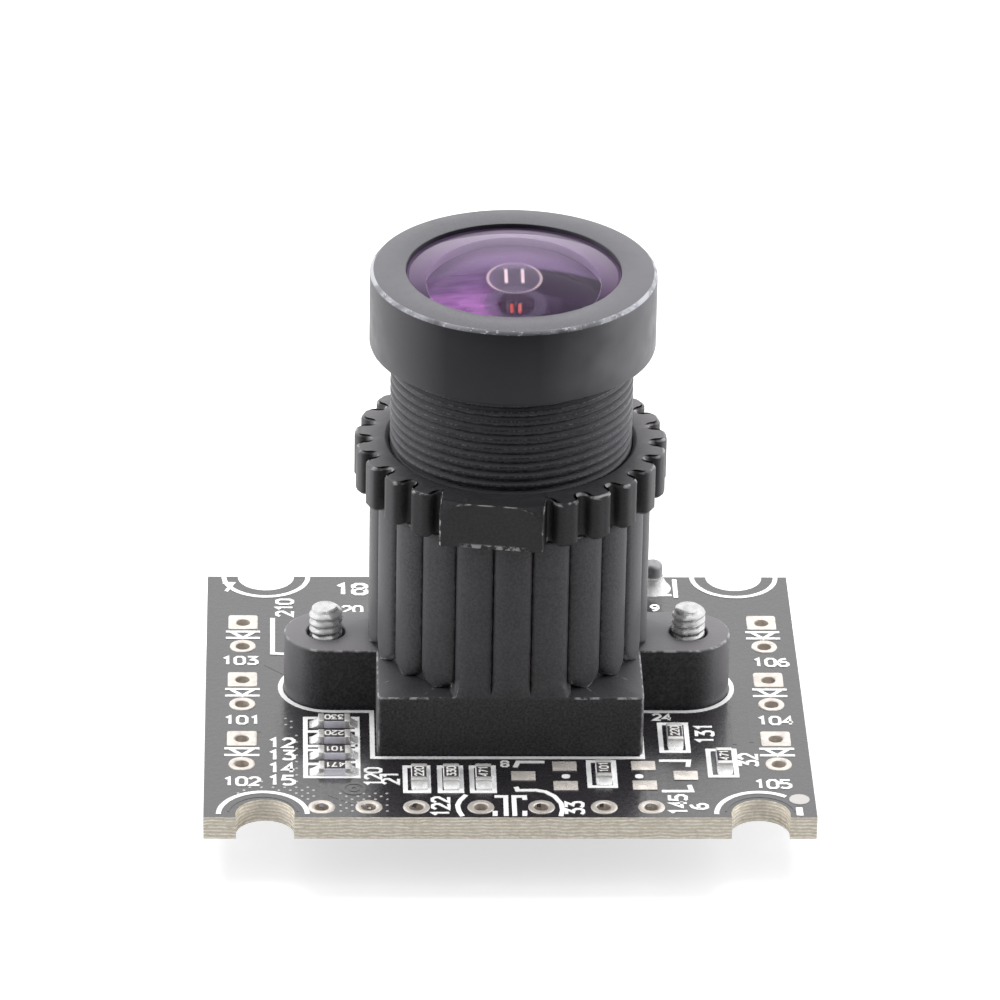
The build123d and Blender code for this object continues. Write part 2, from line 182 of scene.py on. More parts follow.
STROKES = {
    "0": [[(0, 0.2), (0, 0.8), (0.15, 1), (0.45, 1), (0.6, 0.8), (0.6, 0.2), (0.45, 0), (0.15, 0), (0, 0.2)]],
    "1": [[(0.12, 0.8), (0.34, 1), (0.34, 0)]],
    "2": [[(0, 0.8), (0.15, 1), (0.45, 1), (0.6, 0.8), (0.6, 0.6), (0, 0), (0.6, 0)]],
    "3": [[(0, 1), (0.55, 1), (0.25, 0.6), (0.5, 0.55), (0.6, 0.4), (0.6, 0.15), (0.45, 0), (0.15, 0), (0, 0.12)]],
    "4": [[(0.45, 0), (0.45, 1), (0, 0.3), (0.62, 0.3)]],
    "5": [[(0.58, 1), (0.06, 1), (0, 0.58), (0.4, 0.6), (0.6, 0.42), (0.6, 0.18), (0.42, 0), (0.15, 0), (0, 0.1)]],
    "6": [[(0.5, 1), (0.2, 0.9), (0, 0.6), (0, 0.2), (0.15, 0), (0.45, 0), (0.6, 0.2), (0.6, 0.38), (0.45, 0.55),
           (0.02, 0.5)]],
    "7": [[(0, 1), (0.6, 1), (0.2, 0)]],
    "8": [[(0.12, 0.53), (0, 0.7), (0, 0.86), (0.15, 1), (0.45, 1), (0.6, 0.86), (0.6, 0.7), (0.48, 0.53), (0.12, 0.53),
           (0, 0.36), (0, 0.14), (0.15, 0), (0.45, 0), (0.6, 0.14), (0.6, 0.36), (0.48, 0.53)]],
    "9": [[(0.1, 0), (0.4, 0.1), (0.6, 0.4), (0.6, 0.8), (0.45, 1), (0.15, 1), (0, 0.8), (0, 0.62), (0.15, 0.45),
           (0.58, 0.5)]],
}


def number(word, x, y, height, low, high, turn=0.0):
    """A plain number as raised strokes: each figure's path is carried along as a flat strip."""
    step = 0.82 * height
    shapes = []
    for i, figure in enumerate(word):
        for path in STROKES[figure]:
            path = np.array(path) * height + ((i - len(word) / 2) * step + 0.11 * height, -height / 2)
            shapes.append(ribbon(path, height * 0.21, low, high))
    return moved(joined(shapes), x, y, 0.0, turn)


def solids(node):
    """Low and high corners of each loose solid of a CAD node, in millimetres.

    Points that share a place get one label, and each triangle passes the least label on to its corners
    until none changes."""
    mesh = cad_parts[node].data
    points = np.empty(len(mesh.vertices) * 3)
    mesh.vertices.foreach_get("co", points)
    mesh.calc_loop_triangles()
    triangles = np.empty(len(mesh.loop_triangles) * 3, int)
    mesh.loop_triangles.foreach_get("vertices", triangles)
    places, index = np.unique(np.round(points.reshape(-1, 3) / MM, 3), axis=0, return_inverse=True)
    triangles = index.reshape(-1)[triangles].reshape(-1, 3)
    label, before = np.arange(len(places)), None
    while before is None or (label != before).any():
        before = label.copy()
        np.minimum.at(label, triangles, label[triangles].min(1)[:, None])
    return [(places[label == k].min(0), places[label == k].max(0)) for k in np.unique(label)]


def sharpness(points, polygons):
    """How tightly the faces bend outwards at each point: the turn between two faces over their distance."""
    starts, ends, owners, centres, normals, base = [], [], [], [], [], 0
    for group in polygons:
        corners = points[group]
        centre = corners.mean(1, keepdims=True)
        normal = np.cross(corners - centre, np.roll(corners, -1, 1) - centre).sum(1)
        normals.append(normal / np.maximum(np.linalg.norm(normal, axis=1, keepdims=True), 1e-12))
        centres.append(centre[:, 0])
        starts.append(group.reshape(-1))
        ends.append(np.roll(group, -1, 1).reshape(-1))
        owners.append(np.repeat(np.arange(len(group)) + base, group.shape[1]))
        base += len(group)
    start, end, owner = (np.concatenate(v) for v in (starts, ends, owners))
    centre, normal = np.vstack(centres), np.vstack(normals)
    key = np.minimum(start, end) * len(points) + np.maximum(start, end)
    order = np.argsort(key, kind="stable")
    twins = np.flatnonzero(key[order][1:] == key[order][:-1])
    one, two = owner[order][twins], owner[order][twins + 1]
    between = centre[two] - centre[one]
    turn = np.arccos(np.clip(np.einsum("ij,ij->i", normal[one], normal[two]), -1, 1))
    turn *= np.einsum("ij,ij->i", normal[one], between) < 0
    bend = turn / np.maximum(np.linalg.norm(between, axis=1), 0.03)
    values = np.zeros(len(points))
    np.maximum.at(values, start[order][twins], bend)
    np.maximum.at(values, end[order][twins], bend)
    return values


def place(name, parts, body, replaces=(), smooth=True):
    """An object from a list of shape and material pairs, which rides on a body and stands for CAD nodes."""
    points, polygons = joined([shape for shape, _ in parts])
    materials = []
    for _, material in parts:
        if material not in materials:
            materials.append(material)
    paint = {}
    for shape, material in parts:
        for group in shape[1]:
            paint.setdefault(group.shape[1], []).append(np.full(len(group), materials.index(material)))
    mesh = bpy.data.meshes.new(name)
    corners = np.concatenate([group.reshape(-1) for group in polygons])
    counts = np.concatenate([np.full(len(group), group.shape[1]) for group in polygons])
    mesh.vertices.add(len(points))
    mesh.vertices.foreach_set("co", (points * MM).reshape(-1))
    mesh.loops.add(len(corners))
    mesh.loops.foreach_set("vertex_index", corners.astype(np.int32))
    mesh.polygons.add(len(counts))
    mesh.polygons.foreach_set("loop_start", (np.cumsum(counts) - counts).astype(np.int32))
    mesh.polygons.foreach_set("loop_total", counts.astype(np.int32))
    order = np.concatenate([np.concatenate(paint[group.shape[1]]) for group in polygons])
    for material in materials:
        mesh.materials.append(material)
    mesh.polygons.foreach_set("material_index", order.astype(np.int32))
    mesh.attributes.new("bend", "FLOAT", "POINT").data.foreach_set("value", sharpness(points, polygons))
    mesh.update(calc_edges=True)
    mesh.validate()
    if smooth:
        mesh.shade_smooth()
        mesh.set_sharp_from_angle(angle=math.radians(38))
    piece = bpy.data.objects.new(name, mesh)
    bpy.context.scene.collection.objects.link(piece)
    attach(piece, body)
    if replaces:
        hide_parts(*replaces)
    return piece


# Finishes

class Finish:
    """A material with a Principled shader, and short ways to lay noise, masks and bumps on it."""

    def __init__(self, name, colour, rough, metal=0.0, **sockets):
        self.material = bpy.data.materials.new(name)
        self.material.use_nodes = True
        self.tree = self.material.node_tree
        self.shader = self.tree.nodes["Principled BSDF"]
        self.shader.inputs["Base Color"].default_value = (*colour, 1)
        self.shader.inputs["Roughness"].default_value = rough
        self.shader.inputs["Metallic"].default_value = metal
        for key, value in sockets.items():
            self.shader.inputs[key.replace("_", " ")].default_value = value
        self.place = self.node("ShaderNodeTexCoord").outputs["Object"]
        self.height = None

    def node(self, kind, **values):
        made = self.tree.nodes.new(kind)
        for key, value in values.items():
            setattr(made, key, value)
        return made

    def link(self, source, target):
        if isinstance(source, (int, float)):
            target.default_value = source
        elif isinstance(source, tuple):
            target.default_value = (*source, 1) if len(target.default_value) == 4 else source
        else:
            self.tree.links.new(source, target)

    def maths(self, kind, first, second=0.0, third=0.0):
        made = self.node("ShaderNodeMath", operation=kind)
        for source, target in zip((first, second, third), made.inputs):
            self.link(source, target)
        return made.outputs[0]

    def noise(self, size_mm, detail=3.0, stretch=(1, 1, 1)):
        """Smooth noise from 0 to 1 whose features are about size_mm wide, stretched along the axes."""
        mapping = self.node("ShaderNodeMapping")
        self.link(self.place, mapping.inputs["Vector"])
        mapping.inputs["Scale"].default_value = tuple(1 / (size_mm * MM * k) for k in stretch)
        made = self.node("ShaderNodeTexNoise")
        made.inputs["Scale"].default_value = 1.0
        made.inputs["Detail"].default_value = detail
        self.link(mapping.outputs[0], made.inputs["Vector"])
        return made.outputs["Fac"]

    def span(self, source, low, high, first=0.0, last=1.0):
        """The source taken from between low and high to between first and last, and no further."""
        made = self.node("ShaderNodeMapRange")
        for value, key in ((source, "Value"), (low, "From Min"), (high, "From Max"), (first, "To Min"),
                           (last, "To Max")):
            self.link(value, made.inputs[key])
        return made.outputs["Result"]

    def axis(self, name):
        """The place along X, Y or Z, in millimetres."""
        parts = self.node("ShaderNodeSeparateXYZ")
        self.link(self.place, parts.inputs[0])
        return self.maths("DIVIDE", parts.outputs[name], MM)

    def facing(self, name):
        """The surface normal's share along X, Y or Z."""
        parts = self.node("ShaderNodeSeparateXYZ")
        self.link(self.node("ShaderNodeNewGeometry").outputs["Normal"], parts.inputs[0])
        return parts.outputs[name]

    def facing_away(self, name, full):
        """High where the surface turns away from an axis, by the normal's share along it."""
        return self.span(self.maths("ABSOLUTE", self.facing(name)), full, 1.0, 1.0, 0.0)

    def band(self, source, low, high, soft=0.03):
        """High where the source lies between two values."""
        return self.product(self.span(source, low - soft, low + soft), self.span(source, high - soft, high + soft, 1, 0))

    def edges(self, low=3.0, high=7.0):
        """High where the surface bends outwards tightly, in turns per millimetre."""
        return self.span(self.node("ShaderNodeAttribute", attribute_name="bend").outputs["Fac"], low, high)

    def product(self, *sources):
        result = sources[0]
        for source in sources[1:]:
            result = self.maths("MULTIPLY", result, source)
        return result

    def mix(self, share, first, second):
        made = self.node("ShaderNodeMix", data_type="RGBA")
        self.link(share, made.inputs["Factor"])
        self.link(first, made.inputs["A"])
        self.link(second, made.inputs["B"])
        return made.outputs["Result"]

    def colour(self, source):
        self.link(source, self.shader.inputs["Base Color"])
        return self

    def rough(self, source):
        self.link(source, self.shader.inputs["Roughness"])
        return self

    def bump(self, source, depth_mm, strength=1.0):
        """Raises the surface by the source, on top of the bumps laid before."""
        made = self.node("ShaderNodeBump")
        made.inputs["Distance"].default_value = depth_mm * MM
        made.inputs["Strength"].default_value = strength
        self.link(source, made.inputs["Height"])
        if self.height is not None:
            self.link(self.height, made.inputs["Normal"])
        self.height = made.outputs[0]
        self.link(self.height, self.shader.inputs["Normal"])
        return self


def shade(colour, factor):
    return tuple(min(1.0, channel * factor) for channel in colour)


def plain_finish(name, colour, rough, metal=0.0, grain_mm=0.3, spread=0.15, depth_mm=0.01, **sockets):
    """A finish with a slight change of colour and roughness and a fine grain."""
    finish = Finish(name, colour, rough, metal, **sockets)
    cloud = finish.noise(grain_mm * 6, 4)
    fine = finish.noise(grain_mm, 2)
    finish.colour(finish.mix(cloud, shade(colour, 1 - spread), shade(colour, 1 + spread)))
    finish.rough(finish.span(fine, 0.3, 0.7, max(0.02, rough - 0.06), min(1, rough + 0.06)))
    return finish.bump(fine, depth_mm, 0.5).material


def dress(node, material):
    """Gives a CAD node that stays as it is its finish."""
    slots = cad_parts[node].data.materials
    slots.clear()
    slots.append(material)


def off_axis(finish):
    """Distance to the left or right of the lens axis, in millimetres."""
    return finish.maths("ABSOLUTE", finish.maths("SUBTRACT", finish.axis("X"), float(AXIS[0])))


def radius_from_axis(finish):
    """Distance from the lens axis, in millimetres."""
    across = finish.maths("SUBTRACT", finish.axis("X"), float(AXIS[0]))
    deep = finish.maths("SUBTRACT", finish.axis("Y"), float(AXIS[1]))
    return finish.maths("SQRT", finish.maths("ADD", finish.maths("MULTIPLY", across, across),
                                             finish.maths("MULTIPLY", deep, deep)))


def mask_finish(settings):
    """Glossy solder mask on the two faces, glass cloth in resin along the cut edges."""
    black = tuple(settings.mask_colour)
    finish = Finish("solder_mask", black, 0.2, Specular_IOR_Level=1.0, Coat_Roughness=0.16, Coat_IOR=1.55)
    flat = finish.span(finish.maths("ABSOLUTE", finish.facing("Z")), 0.4, 0.6)
    finish.link(flat, finish.shader.inputs["Coat Weight"])
    weave = finish.noise(0.3, 2)
    face = finish.mix(finish.noise(5, 3), shade(black, 0.8), shade(black, 1.25))
    wavy = finish.maths("ADD", finish.axis("Z"), finish.span(finish.noise(0.8, 3), 0, 1, 0, 0.22))
    layers = finish.span(finish.maths("SINE", finish.maths("MULTIPLY", wavy, 34.0)), -0.5, 0.8)
    threads = finish.noise(0.07, 3, (4, 4, 1))
    layers = finish.product(layers, finish.span(threads, 0.3, 0.6))
    cloth = finish.mix(finish.noise(0.6, 3), (0.46, 0.39, 0.28), (0.62, 0.57, 0.48))
    cloth = finish.mix(layers, cloth, (0.92, 0.87, 0.78))
    finish.colour(finish.mix(flat, cloth, face))
    finish.rough(finish.span(weave, 0.3, 0.7, 0.22, 0.34))
    return finish.bump(layers, 0.02, 0.3).bump(weave, 0.004, 0.3).material


def tin_finish(name, colour, rough, metal=0.85):
    """Tin with dull patches and a soft dimpled skin."""
    finish = Finish(name, colour, rough, metal)
    cloud = finish.noise(0.4, 4)
    finish.colour(finish.mix(finish.span(cloud, 0.35, 0.65), shade(colour, 0.8), colour))
    finish.rough(finish.span(cloud, 0.35, 0.7, rough + 0.15, rough))
    return finish.bump(finish.noise(0.22, 2), 0.025, 0.5).material


def moulded_finish(name, colour, painted_light, rough, worn, grain=0.1, painted_light_span=None, scar=None):
    """Moulded plastic with a fine grain, painted light and shade, and pale where its edges are rubbed.

    A painted highlight lies where it faces up, growing between two values along an axis, given as a triple of
    axis name, start and end, and on its sides away from the axis; painted shade darkens the base below the
    shoulder. The scar is a ragged pale spot round a place, given as its middle and its half sizes."""
    finish = Finish(name, colour, rough, Specular_IOR_Level=0.3)
    cloud = finish.noise(1.6, 4)
    grainy = finish.noise(grain, 3)
    up = finish.span(finish.facing("Z"), 0.6, 0.97)
    # The painted highlight on top fades in between two values along an axis; where it is left out the top stays dark,
    # as painted shade.
    if painted_light_span:
        axis, start, end = painted_light_span
        along = finish.axis(axis) if axis == "Y" else off_axis(finish)
        up = finish.product(up, finish.span(along, start, end, 0.04, 1.0))
    body = finish.mix(cloud, shade(colour, 0.7), shade(colour, 1.3))
    # Painted shade: the base below the shoulder is half as bright.
    body = finish.mix(finish.span(finish.axis("Z"), float(MOUNT_LOW[2]) + 3.1, float(MOUNT_LOW[2]) + 3.3), shade(colour, 0.5),
                      body)
    body = finish.mix(finish.span(grainy, 0.35, 0.7, 0, 0.6), body, shade(colour, 2.2))
    # Painted sheen: away from the axis, faces that don't turn to the front or back are lighter.
    body = finish.mix(finish.product(finish.span(off_axis(finish), 5.0, 7.0, 0, 0.5), finish.facing_away("Y", 0.8)),
                      body, painted_light)
    # Painted highlight: faces that turn up are lighter, with a grain.
    body = finish.mix(finish.product(up, finish.span(grainy, 0.25, 0.75, 0.6, 1.0)), body, painted_light)
    rubbed = finish.product(finish.edges(), finish.span(finish.noise(0.5, 5), 0.48, 0.58))
    if scar:
        near = 1.0
        for axis, middle, half in zip("XYZ", *scar):
            away = finish.maths("DIVIDE", finish.maths("ABSOLUTE", finish.maths("SUBTRACT", finish.axis(axis), middle)),
                                half)
            near = finish.product(near, finish.span(away, 0.6, 1.0, 1.0, 0.0))
        rubbed = finish.maths("MAXIMUM", rubbed, finish.product(near, finish.span(finish.noise(0.25, 4), 0.42, 0.5)))
    finish.colour(finish.mix(rubbed, body, worn))
    finish.rough(finish.span(grainy, 0.3, 0.7, rough - 0.08, rough + 0.08))
    return finish.bump(grainy, 0.02, 0.6).material


def anodised_finish(name, colour, painted_light, rough, worn):
    """Turned and blackened metal: rings left by the tool, a painted highlight that greys its top and its left and
    right edges, specks where the edges are rubbed.

    A soft cloud of painted sheen lies on the right of the head. The bore wall is painted violet as a painted
    reflection, and the head's rim and the thread's crests carry pale flecks, partly wear and partly painted highlight."""
    finish = Finish(name, colour, rough, Specular_IOR_Level=0.32)
    rings = finish.noise(0.2, 3, (40, 40, 0.3))
    speck = finish.noise(0.09, 2)
    up = finish.span(finish.facing("Z"), 0.6, 0.97)
    body = finish.mix(finish.noise(2.5, 4), shade(colour, 0.7), shade(colour, 1.3))
    # Painted sheen: a soft cloud of lighter colour on the right of the head.
    painted_sheen = finish.product(finish.span(finish.axis("X"), 1.2, 5.0), finish.span(finish.axis("Z"), 22.5, 24.5),
                          finish.span(finish.noise(3.0, 2), 0.35, 0.65, 0.35, 1.0))
    body = finish.mix(finish.product(painted_sheen, 0.9), body, painted_light)
    # Painted highlight: lighter towards the left and right edges, away from the axis.
    body = finish.mix(finish.span(off_axis(finish), 3.4, 6.8, 0, 0.75), body, painted_light)
    # Painted highlight: faces that turn up are lighter, with specks.
    body = finish.mix(finish.product(up, finish.span(speck, 0.3, 0.7, 0.75, 1.0)), body, painted_light)
    # Along the head's rim: a painted highlight that grows towards the left and right, and specks of real wear.
    head = finish.product(finish.span(finish.axis("Z"), 27.0, 27.1), finish.span(radius_from_axis(finish), 6.3, 6.6))
    away = finish.span(finish.maths("ABSOLUTE", finish.axis("X")), 1.0, 6.0, 0.12, 0.55)
    specks = finish.span(finish.noise(0.25, 6, (1, 1, 0.5)), 0.56, 0.64, 0, 0.6)
    strip = finish.product(finish.edges(0.8, 2.5), head, finish.maths("MAXIMUM", finish.product(
        away, finish.span(finish.noise(0.8, 5), 0.38, 0.55, 0.3, 1)), specks))
    # Painted reflection: the bore wall seen through the glass is painted violet.
    bore = finish.product(finish.span(radius_from_axis(finish), 3.95, 4.0, 1, 0), finish.span(finish.axis("Z"), 24.0, 24.1))
    body = finish.mix(bore, body, (0.6, 0.42, 0.7))
    # Pale flecks on the thread crests: partly wear, partly painted highlight.
    turns = finish.product(finish.edges(5.0, 13.0), finish.span(finish.noise(0.12, 4), 0.47, 0.62, 0, 0.5),
                           finish.span(finish.axis("Z"), 23.3, 23.5, 1, 0))
    finish.colour(finish.mix(finish.maths("MAXIMUM", strip, turns), body, worn))
    finish.rough(finish.span(finish.noise(0.9, 3), 0.3, 0.7, rough - 0.06, rough + 0.06))
    return finish.bump(rings, 0.004, 0.4).bump(speck, 0.008, 0.4).material


# Sizes and colours that a user would change

def size(name, description, metres):
    return bpy.props.FloatProperty(name=name, description=description, default=metres, min=0.0,
                                   unit="LENGTH", precision=5)


def tint(name, description, colour):
    return bpy.props.FloatVectorProperty(name=name, description=description, default=colour, size=3,
                                         min=0.0, max=1.0, subtype="COLOR")


class BoardSettings(bpy.types.PropertyGroup):
    mask_colour: tint("Mask", "Colour of the solder mask", (0.02, 0.018, 0.021))
    ink_colour: tint("Ink", "Colour of the printed outlines and numbers", (0.8, 0.8, 0.8))
    tin_colour: tint("Tin", "Colour of the tinned lands", (0.85, 0.79, 0.73))
    ink_height: size("Ink height", "How far the ink stands above the mask", 0.00002)
    ink_width: size("Ink width", "Width of the printed outlines", 0.00024)
    plating: size("Plating", "Wall of the plating inside a hole", 0.00003)


class MountSettings(bpy.types.PropertyGroup):
    plastic_colour: tint("Plastic", "Colour of the moulded mount and nut", (0.032, 0.031, 0.034))
    # Painted light: the lighter colour laid on the plastic where it faces up and on its sides, as a painted highlight.
    painted_light_colour: tint("Painted light", "Colour of the plastic that faces up", (0.16, 0.155, 0.162))
    worn_colour: tint("Rubbed edges", "Colour of rubbed plastic edges", (0.28, 0.27, 0.28))
    groove_depth: size("Groove depth", "Depth of the grooves between the ribs", 0.00042)
    edge: size("Edge", "Radius of the moulded edges", 0.00012)
    ribs: bpy.props.IntProperty(name="Ribs", description="Ribs round the tower", default=22, min=3)


class LensSettings(bpy.types.PropertyGroup):
    metal_colour: tint("Metal", "Colour of the blackened barrel", (0.01, 0.01, 0.013))
    # Painted light: the lighter colour laid on the barrel's top, its left and right edges and its right side, as a
    # painted highlight.
    painted_light_colour: tint("Top", "Colour of the head's worn top", (0.105, 0.103, 0.112))
    worn_colour: tint("Rubbed metal", "Colour of rubbed metal", (0.55, 0.56, 0.6))
    coating_colour: tint("Coating", "Colour that the glass reflects", (0.75, 0.5, 0.9))
    # The colour of the painted glow that shows inside the lens.
    glow_colour: tint("Glow", "Colour that shows inside the lens", (0.62, 0.22, 0.6))
    thread_pitch: size("Pitch", "Rise of the thread in one turn", 0.0005)
    thread_depth: size("Thread depth", "Depth of the thread", 0.00028)


class StageSettings(bpy.types.PropertyGroup):
    floor_colour: tint("Floor", "Colour of the floor", (0.5, 0.5, 0.5))
    sky_level: bpy.props.FloatProperty(name="Sky", description="Strength of the light all round",
                                       default=0.5, min=0.0)
    lamp_level: bpy.props.FloatProperty(name="Lamps", description="Strength of the lamps",
                                        default=1.0, min=0.0)


# Board

class WEBCAM_OT_board(bpy.types.Operator):
    """Gives the circuit board its solder mask and cut edges"""
    bl_idname = "webcam.board"
    bl_label = "Circuit board"

    def execute(self, context):
        dress("circuit_board", mask_finish(context.scene.webcam_board))
        return {"FINISHED"}


def ring_land(x, y, outer, inner, side=0.0):
    """A plated hole: a land ring on each face joined by the wall of the hole, as one closed profile about it.

    The outline is a circle, or a square with rounded corners where a side is given."""
    columns = 64
    angle = np.arange(columns) * TAU / columns
    rim = np.full(columns, outer)
    if side:
        rim = (np.abs(np.cos(angle)) ** 14 + np.abs(np.sin(angle)) ** 14) ** (-1 / 14) * side / 2
    hole = np.full(columns, inner)
    high = [(rim, TOP), (rim - 0.02, TOP + 0.035), (rim - 0.07, TOP + 0.05), (hole + 0.12, TOP + 0.05),
            (hole + 0.04, TOP + 0.035), (hole, TOP)]
    low = [(radius, TOP + BOTTOM - z) for radius, z in high[::-1]]
    wall = hole + 0.03
    back = [(wall, BOTTOM), (wall, TOP)]
    rows = high + low + back
    return spun(np.array([radius for radius, _ in rows]), [z for _, z in rows], columns, x=x, y=y)


class WEBCAM_OT_lands(bpy.types.Operator):
    """Makes the plated holes with their lands, and the bare pads"""
    bl_idname = "webcam.lands"
    bl_label = "Plated lands"

    def execute(self, context):
        settings = context.scene.webcam_board
        tin = tin_finish("tinned_copper", tuple(settings.tin_colour), 0.28, 0.6)
        inner = 0.388 - settings.plating / MM
        lands = []
        for low, high in solids("plated_lands"):
            x, y = (low + high)[:2] / 2
            width = high[0] - low[0]
            lands.append(ring_land(x, y, 0.66, inner, width if width > 1.42 else 0.0))
        place("land_plating", [(joined(lands), tin)], "board", ["plated_lands"])
        pads = [rounded_box(high - low, 0.024, (low + high) / 2) for low, high in solids("bare_pads")]
        paste = tin_finish("pad_tin", tuple(settings.tin_colour), 0.22, 0.4)
        place("pad_tinning", [(joined(pads), paste)], "board", ["bare_pads"])
        return {"FINISHED"}


# Print, traces and vias

NOTCHES = [(-12.1, -12.2, 0, 180), (12.25, -12.2, 53, 180), (-11.99, 12.45, 180, 360), (12.25, 12.45, 180, 360)]
FRAMES = [(-10.0, -7.41, -8.54, -2.58), (-5.1, -3.96, -10.01, -7.51), (-3.4, -2.34, -10.01, -7.51),
          (-1.82, -0.73, -10.01, -7.51), (3.98, 5.24, -9.49, -6.97), (7.68, 9.0, -5.98, -3.15),
          (9.97, 11.28, -8.45, -5.81)]
BARS = [[(-10.0, -5.45), (-9.32, -5.45)], [(-10.0, -5.84), (-9.32, -5.84)], [(-7.41, -5.39), (-7.75, -5.39)],
        [(-7.41, -5.8), (-7.75, -5.8)], [(-10.0, -3.96), (-9.31, -3.96)], [(-10.0, -7.25), (-9.31, -7.25)],
        [(-7.41, -3.85), (-7.75, -3.85)], [(-7.41, -7.06), (-7.75, -7.06)],
        [(0.35, -7.55), (0.5, -7.03), (1.82, -7.03)],
        [(0.34, -9.53), (0.41, -9.87), (1.3, -9.85), (1.77, -10.0), (2.2, -10.45), (2.5, -11.15), (2.55, -11.8),
         (2.44, -12.4)],
        [(-2.14, -10.3), (-2.45, -10.85), (-2.58, -11.32), (-2.52, -11.9), (-2.36, -12.4)],
        [(7.49, -6.89), (8.97, -6.89), (8.9, -7.51)], [(7.5, -9.94), (8.97, -9.93), (8.88, -9.32)],
        [(-0.75, -10.47), (-0.2, -10.47), (-0.22, -12.38)], [(-0.75, -11.9), (-0.77, -12.38)],
        [(0.73, -10.8), (0.73, -10.47), (0.2, -10.47), (0.2, -12.38)], [(0.7, -11.9), (0.68, -12.38)],
        [(-11.64, 7.93), (-11.64, 4.15), (-11.03, 4.1)], [(9.17, 12.2), (9.17, 10.2)], [(8.95, 10.49), (7.79, 10.49)]]
BLOCKS = [(14.155, -11.92, 0.33, 0.79)]
LABELS = [("12", -11.2, -5.12, 0.88, 0), ("13", -11.2, -6.35, 0.88, 0), ("14", -11.2, -7.64, 0.88, 0),
          ("15", -11.2, -8.86, 0.88, 0), ("120", -6.67, -8.5, 0.76, 90), ("21", -5.82, -8.65, 0.78, 90),
          ("122", -3.4, -11.45, 0.8, 90), ("33", 3.15, -11.6, 0.82, 90), ("131", 9.9, -4.15, 0.82, 90),
          ("32", 11.93, -6.82, 0.85, 90), ("145", 8.25, -11.25, 0.82, 90), ("6", 9.25, -11.44, 0.8, 90),
          ("8", -0.15, -7.2, 0.55, 0), ("24", 7.84, -2.45, 0.62, 0), ("101", -13.15, -2.78, 0.78, 0),
          ("102", -13.15, -8.98, 0.78, 0), ("103", -13.3, 3.4, 0.78, 0), ("104", 13.5, -2.81, 0.78, 0),
          ("105", 13.0, -9.23, 0.78, 0), ("106", 13.64, 3.26, 0.78, 0), ("210", -11.02, 9.05, 0.8, 90),
          ("7", -13.95, 11.3, 0.9, 0), ("18", -7.6, 11.1, 1.1, 0), ("20", -7.55, 8.9, 0.7, 0), ("9", 8.02, 9.1, 0.6, 0)]
TRACES = [[(-9.23, -9.04), (-9.23, -11.5)], [(-8.83, -9.04), (-8.83, -10.3), (-7.05, -11.5)],
          [(11.0, -1.94), (11.0, -5.5)], [(11.35, -1.94), (11.35, -5.2)], [(-9.0, -2.2), (-9.0, 0.0), (-12.0, 3.0)],
          [(-4.4, -10.3), (-4.72, -11.5)], [(1.4, -11.5), (1.4, -10.6), (0.9, -10.1)], [(4.55, -9.7), (4.47, -11.5)],
          [(6.79, -11.5), (6.79, -7.5), (7.2, -7.0)], [(12.2, -5.0), (12.2, -1.5)], [(-12.3, -4.0), (-12.3, 2.0)],
          [(-6.0, -10.4), (-6.4, -11.2)], [(2.2, -8.4), (1.0, -8.4)]]


def mount_outline():
    """The mount's outline on the board: a rectangle with a round end at each ear."""
    x, y = AXIS
    left, right = arc(x - 8.88, y, 2.5, 90, 270, 24), arc(x + 8.88, y, 2.5, -90, 90, 24)
    return np.vstack([left, [(-6.68, -1.9), (-6.68, -6.6), (6.7, -6.6), (6.7, -1.9)], right,
                      [(6.7, 3.1), (6.7, 7.8), (-6.68, 7.8), (-6.68, 3.1)]])


def diode_mark(x, y):
    """Two bars with a triangle between them, between the two lands of a diode's place."""
    return [[(x - 0.87, y + 0.27), (x + 0.87, y + 0.27)], [(x - 0.87, y - 0.4), (x + 0.87, y - 0.4)],
            [(x - 0.6, y + 0.27), (x, y - 0.4), (x + 0.6, y + 0.27)]]


def via_places():
    """Centres of the tiny vias: two staggered grids cut to slanting fields, and a column beside the chips."""
    places = [(-10.44, -4.35 - 0.66 * i) for i in range(8)]
    places += [(-10.98, -2.6), (-10.7, -2.91), (-10.98, -3.24), (-10.7, -3.52)]
    for row in range(7):
        for column in range(9):
            x, y = -8.3 + 0.285 * column, -10.15 - 0.29 * row
            if (row + column) % 2 == 0:
                places.append((x, y))
    for row in range(10):
        for column in range(15):
            x, y = -13.6 + 0.285 * column, -8.1 - 0.29 * row
            if (row + column) % 2 == 0 and y < -8.3 - 1.05 * (-11.9 - x) and math.hypot(x + 11.99, y + 12.2) > 2.45 \
                    and not (x > -11.9 and y > -9.5):
                places.append((x, y))
    return places


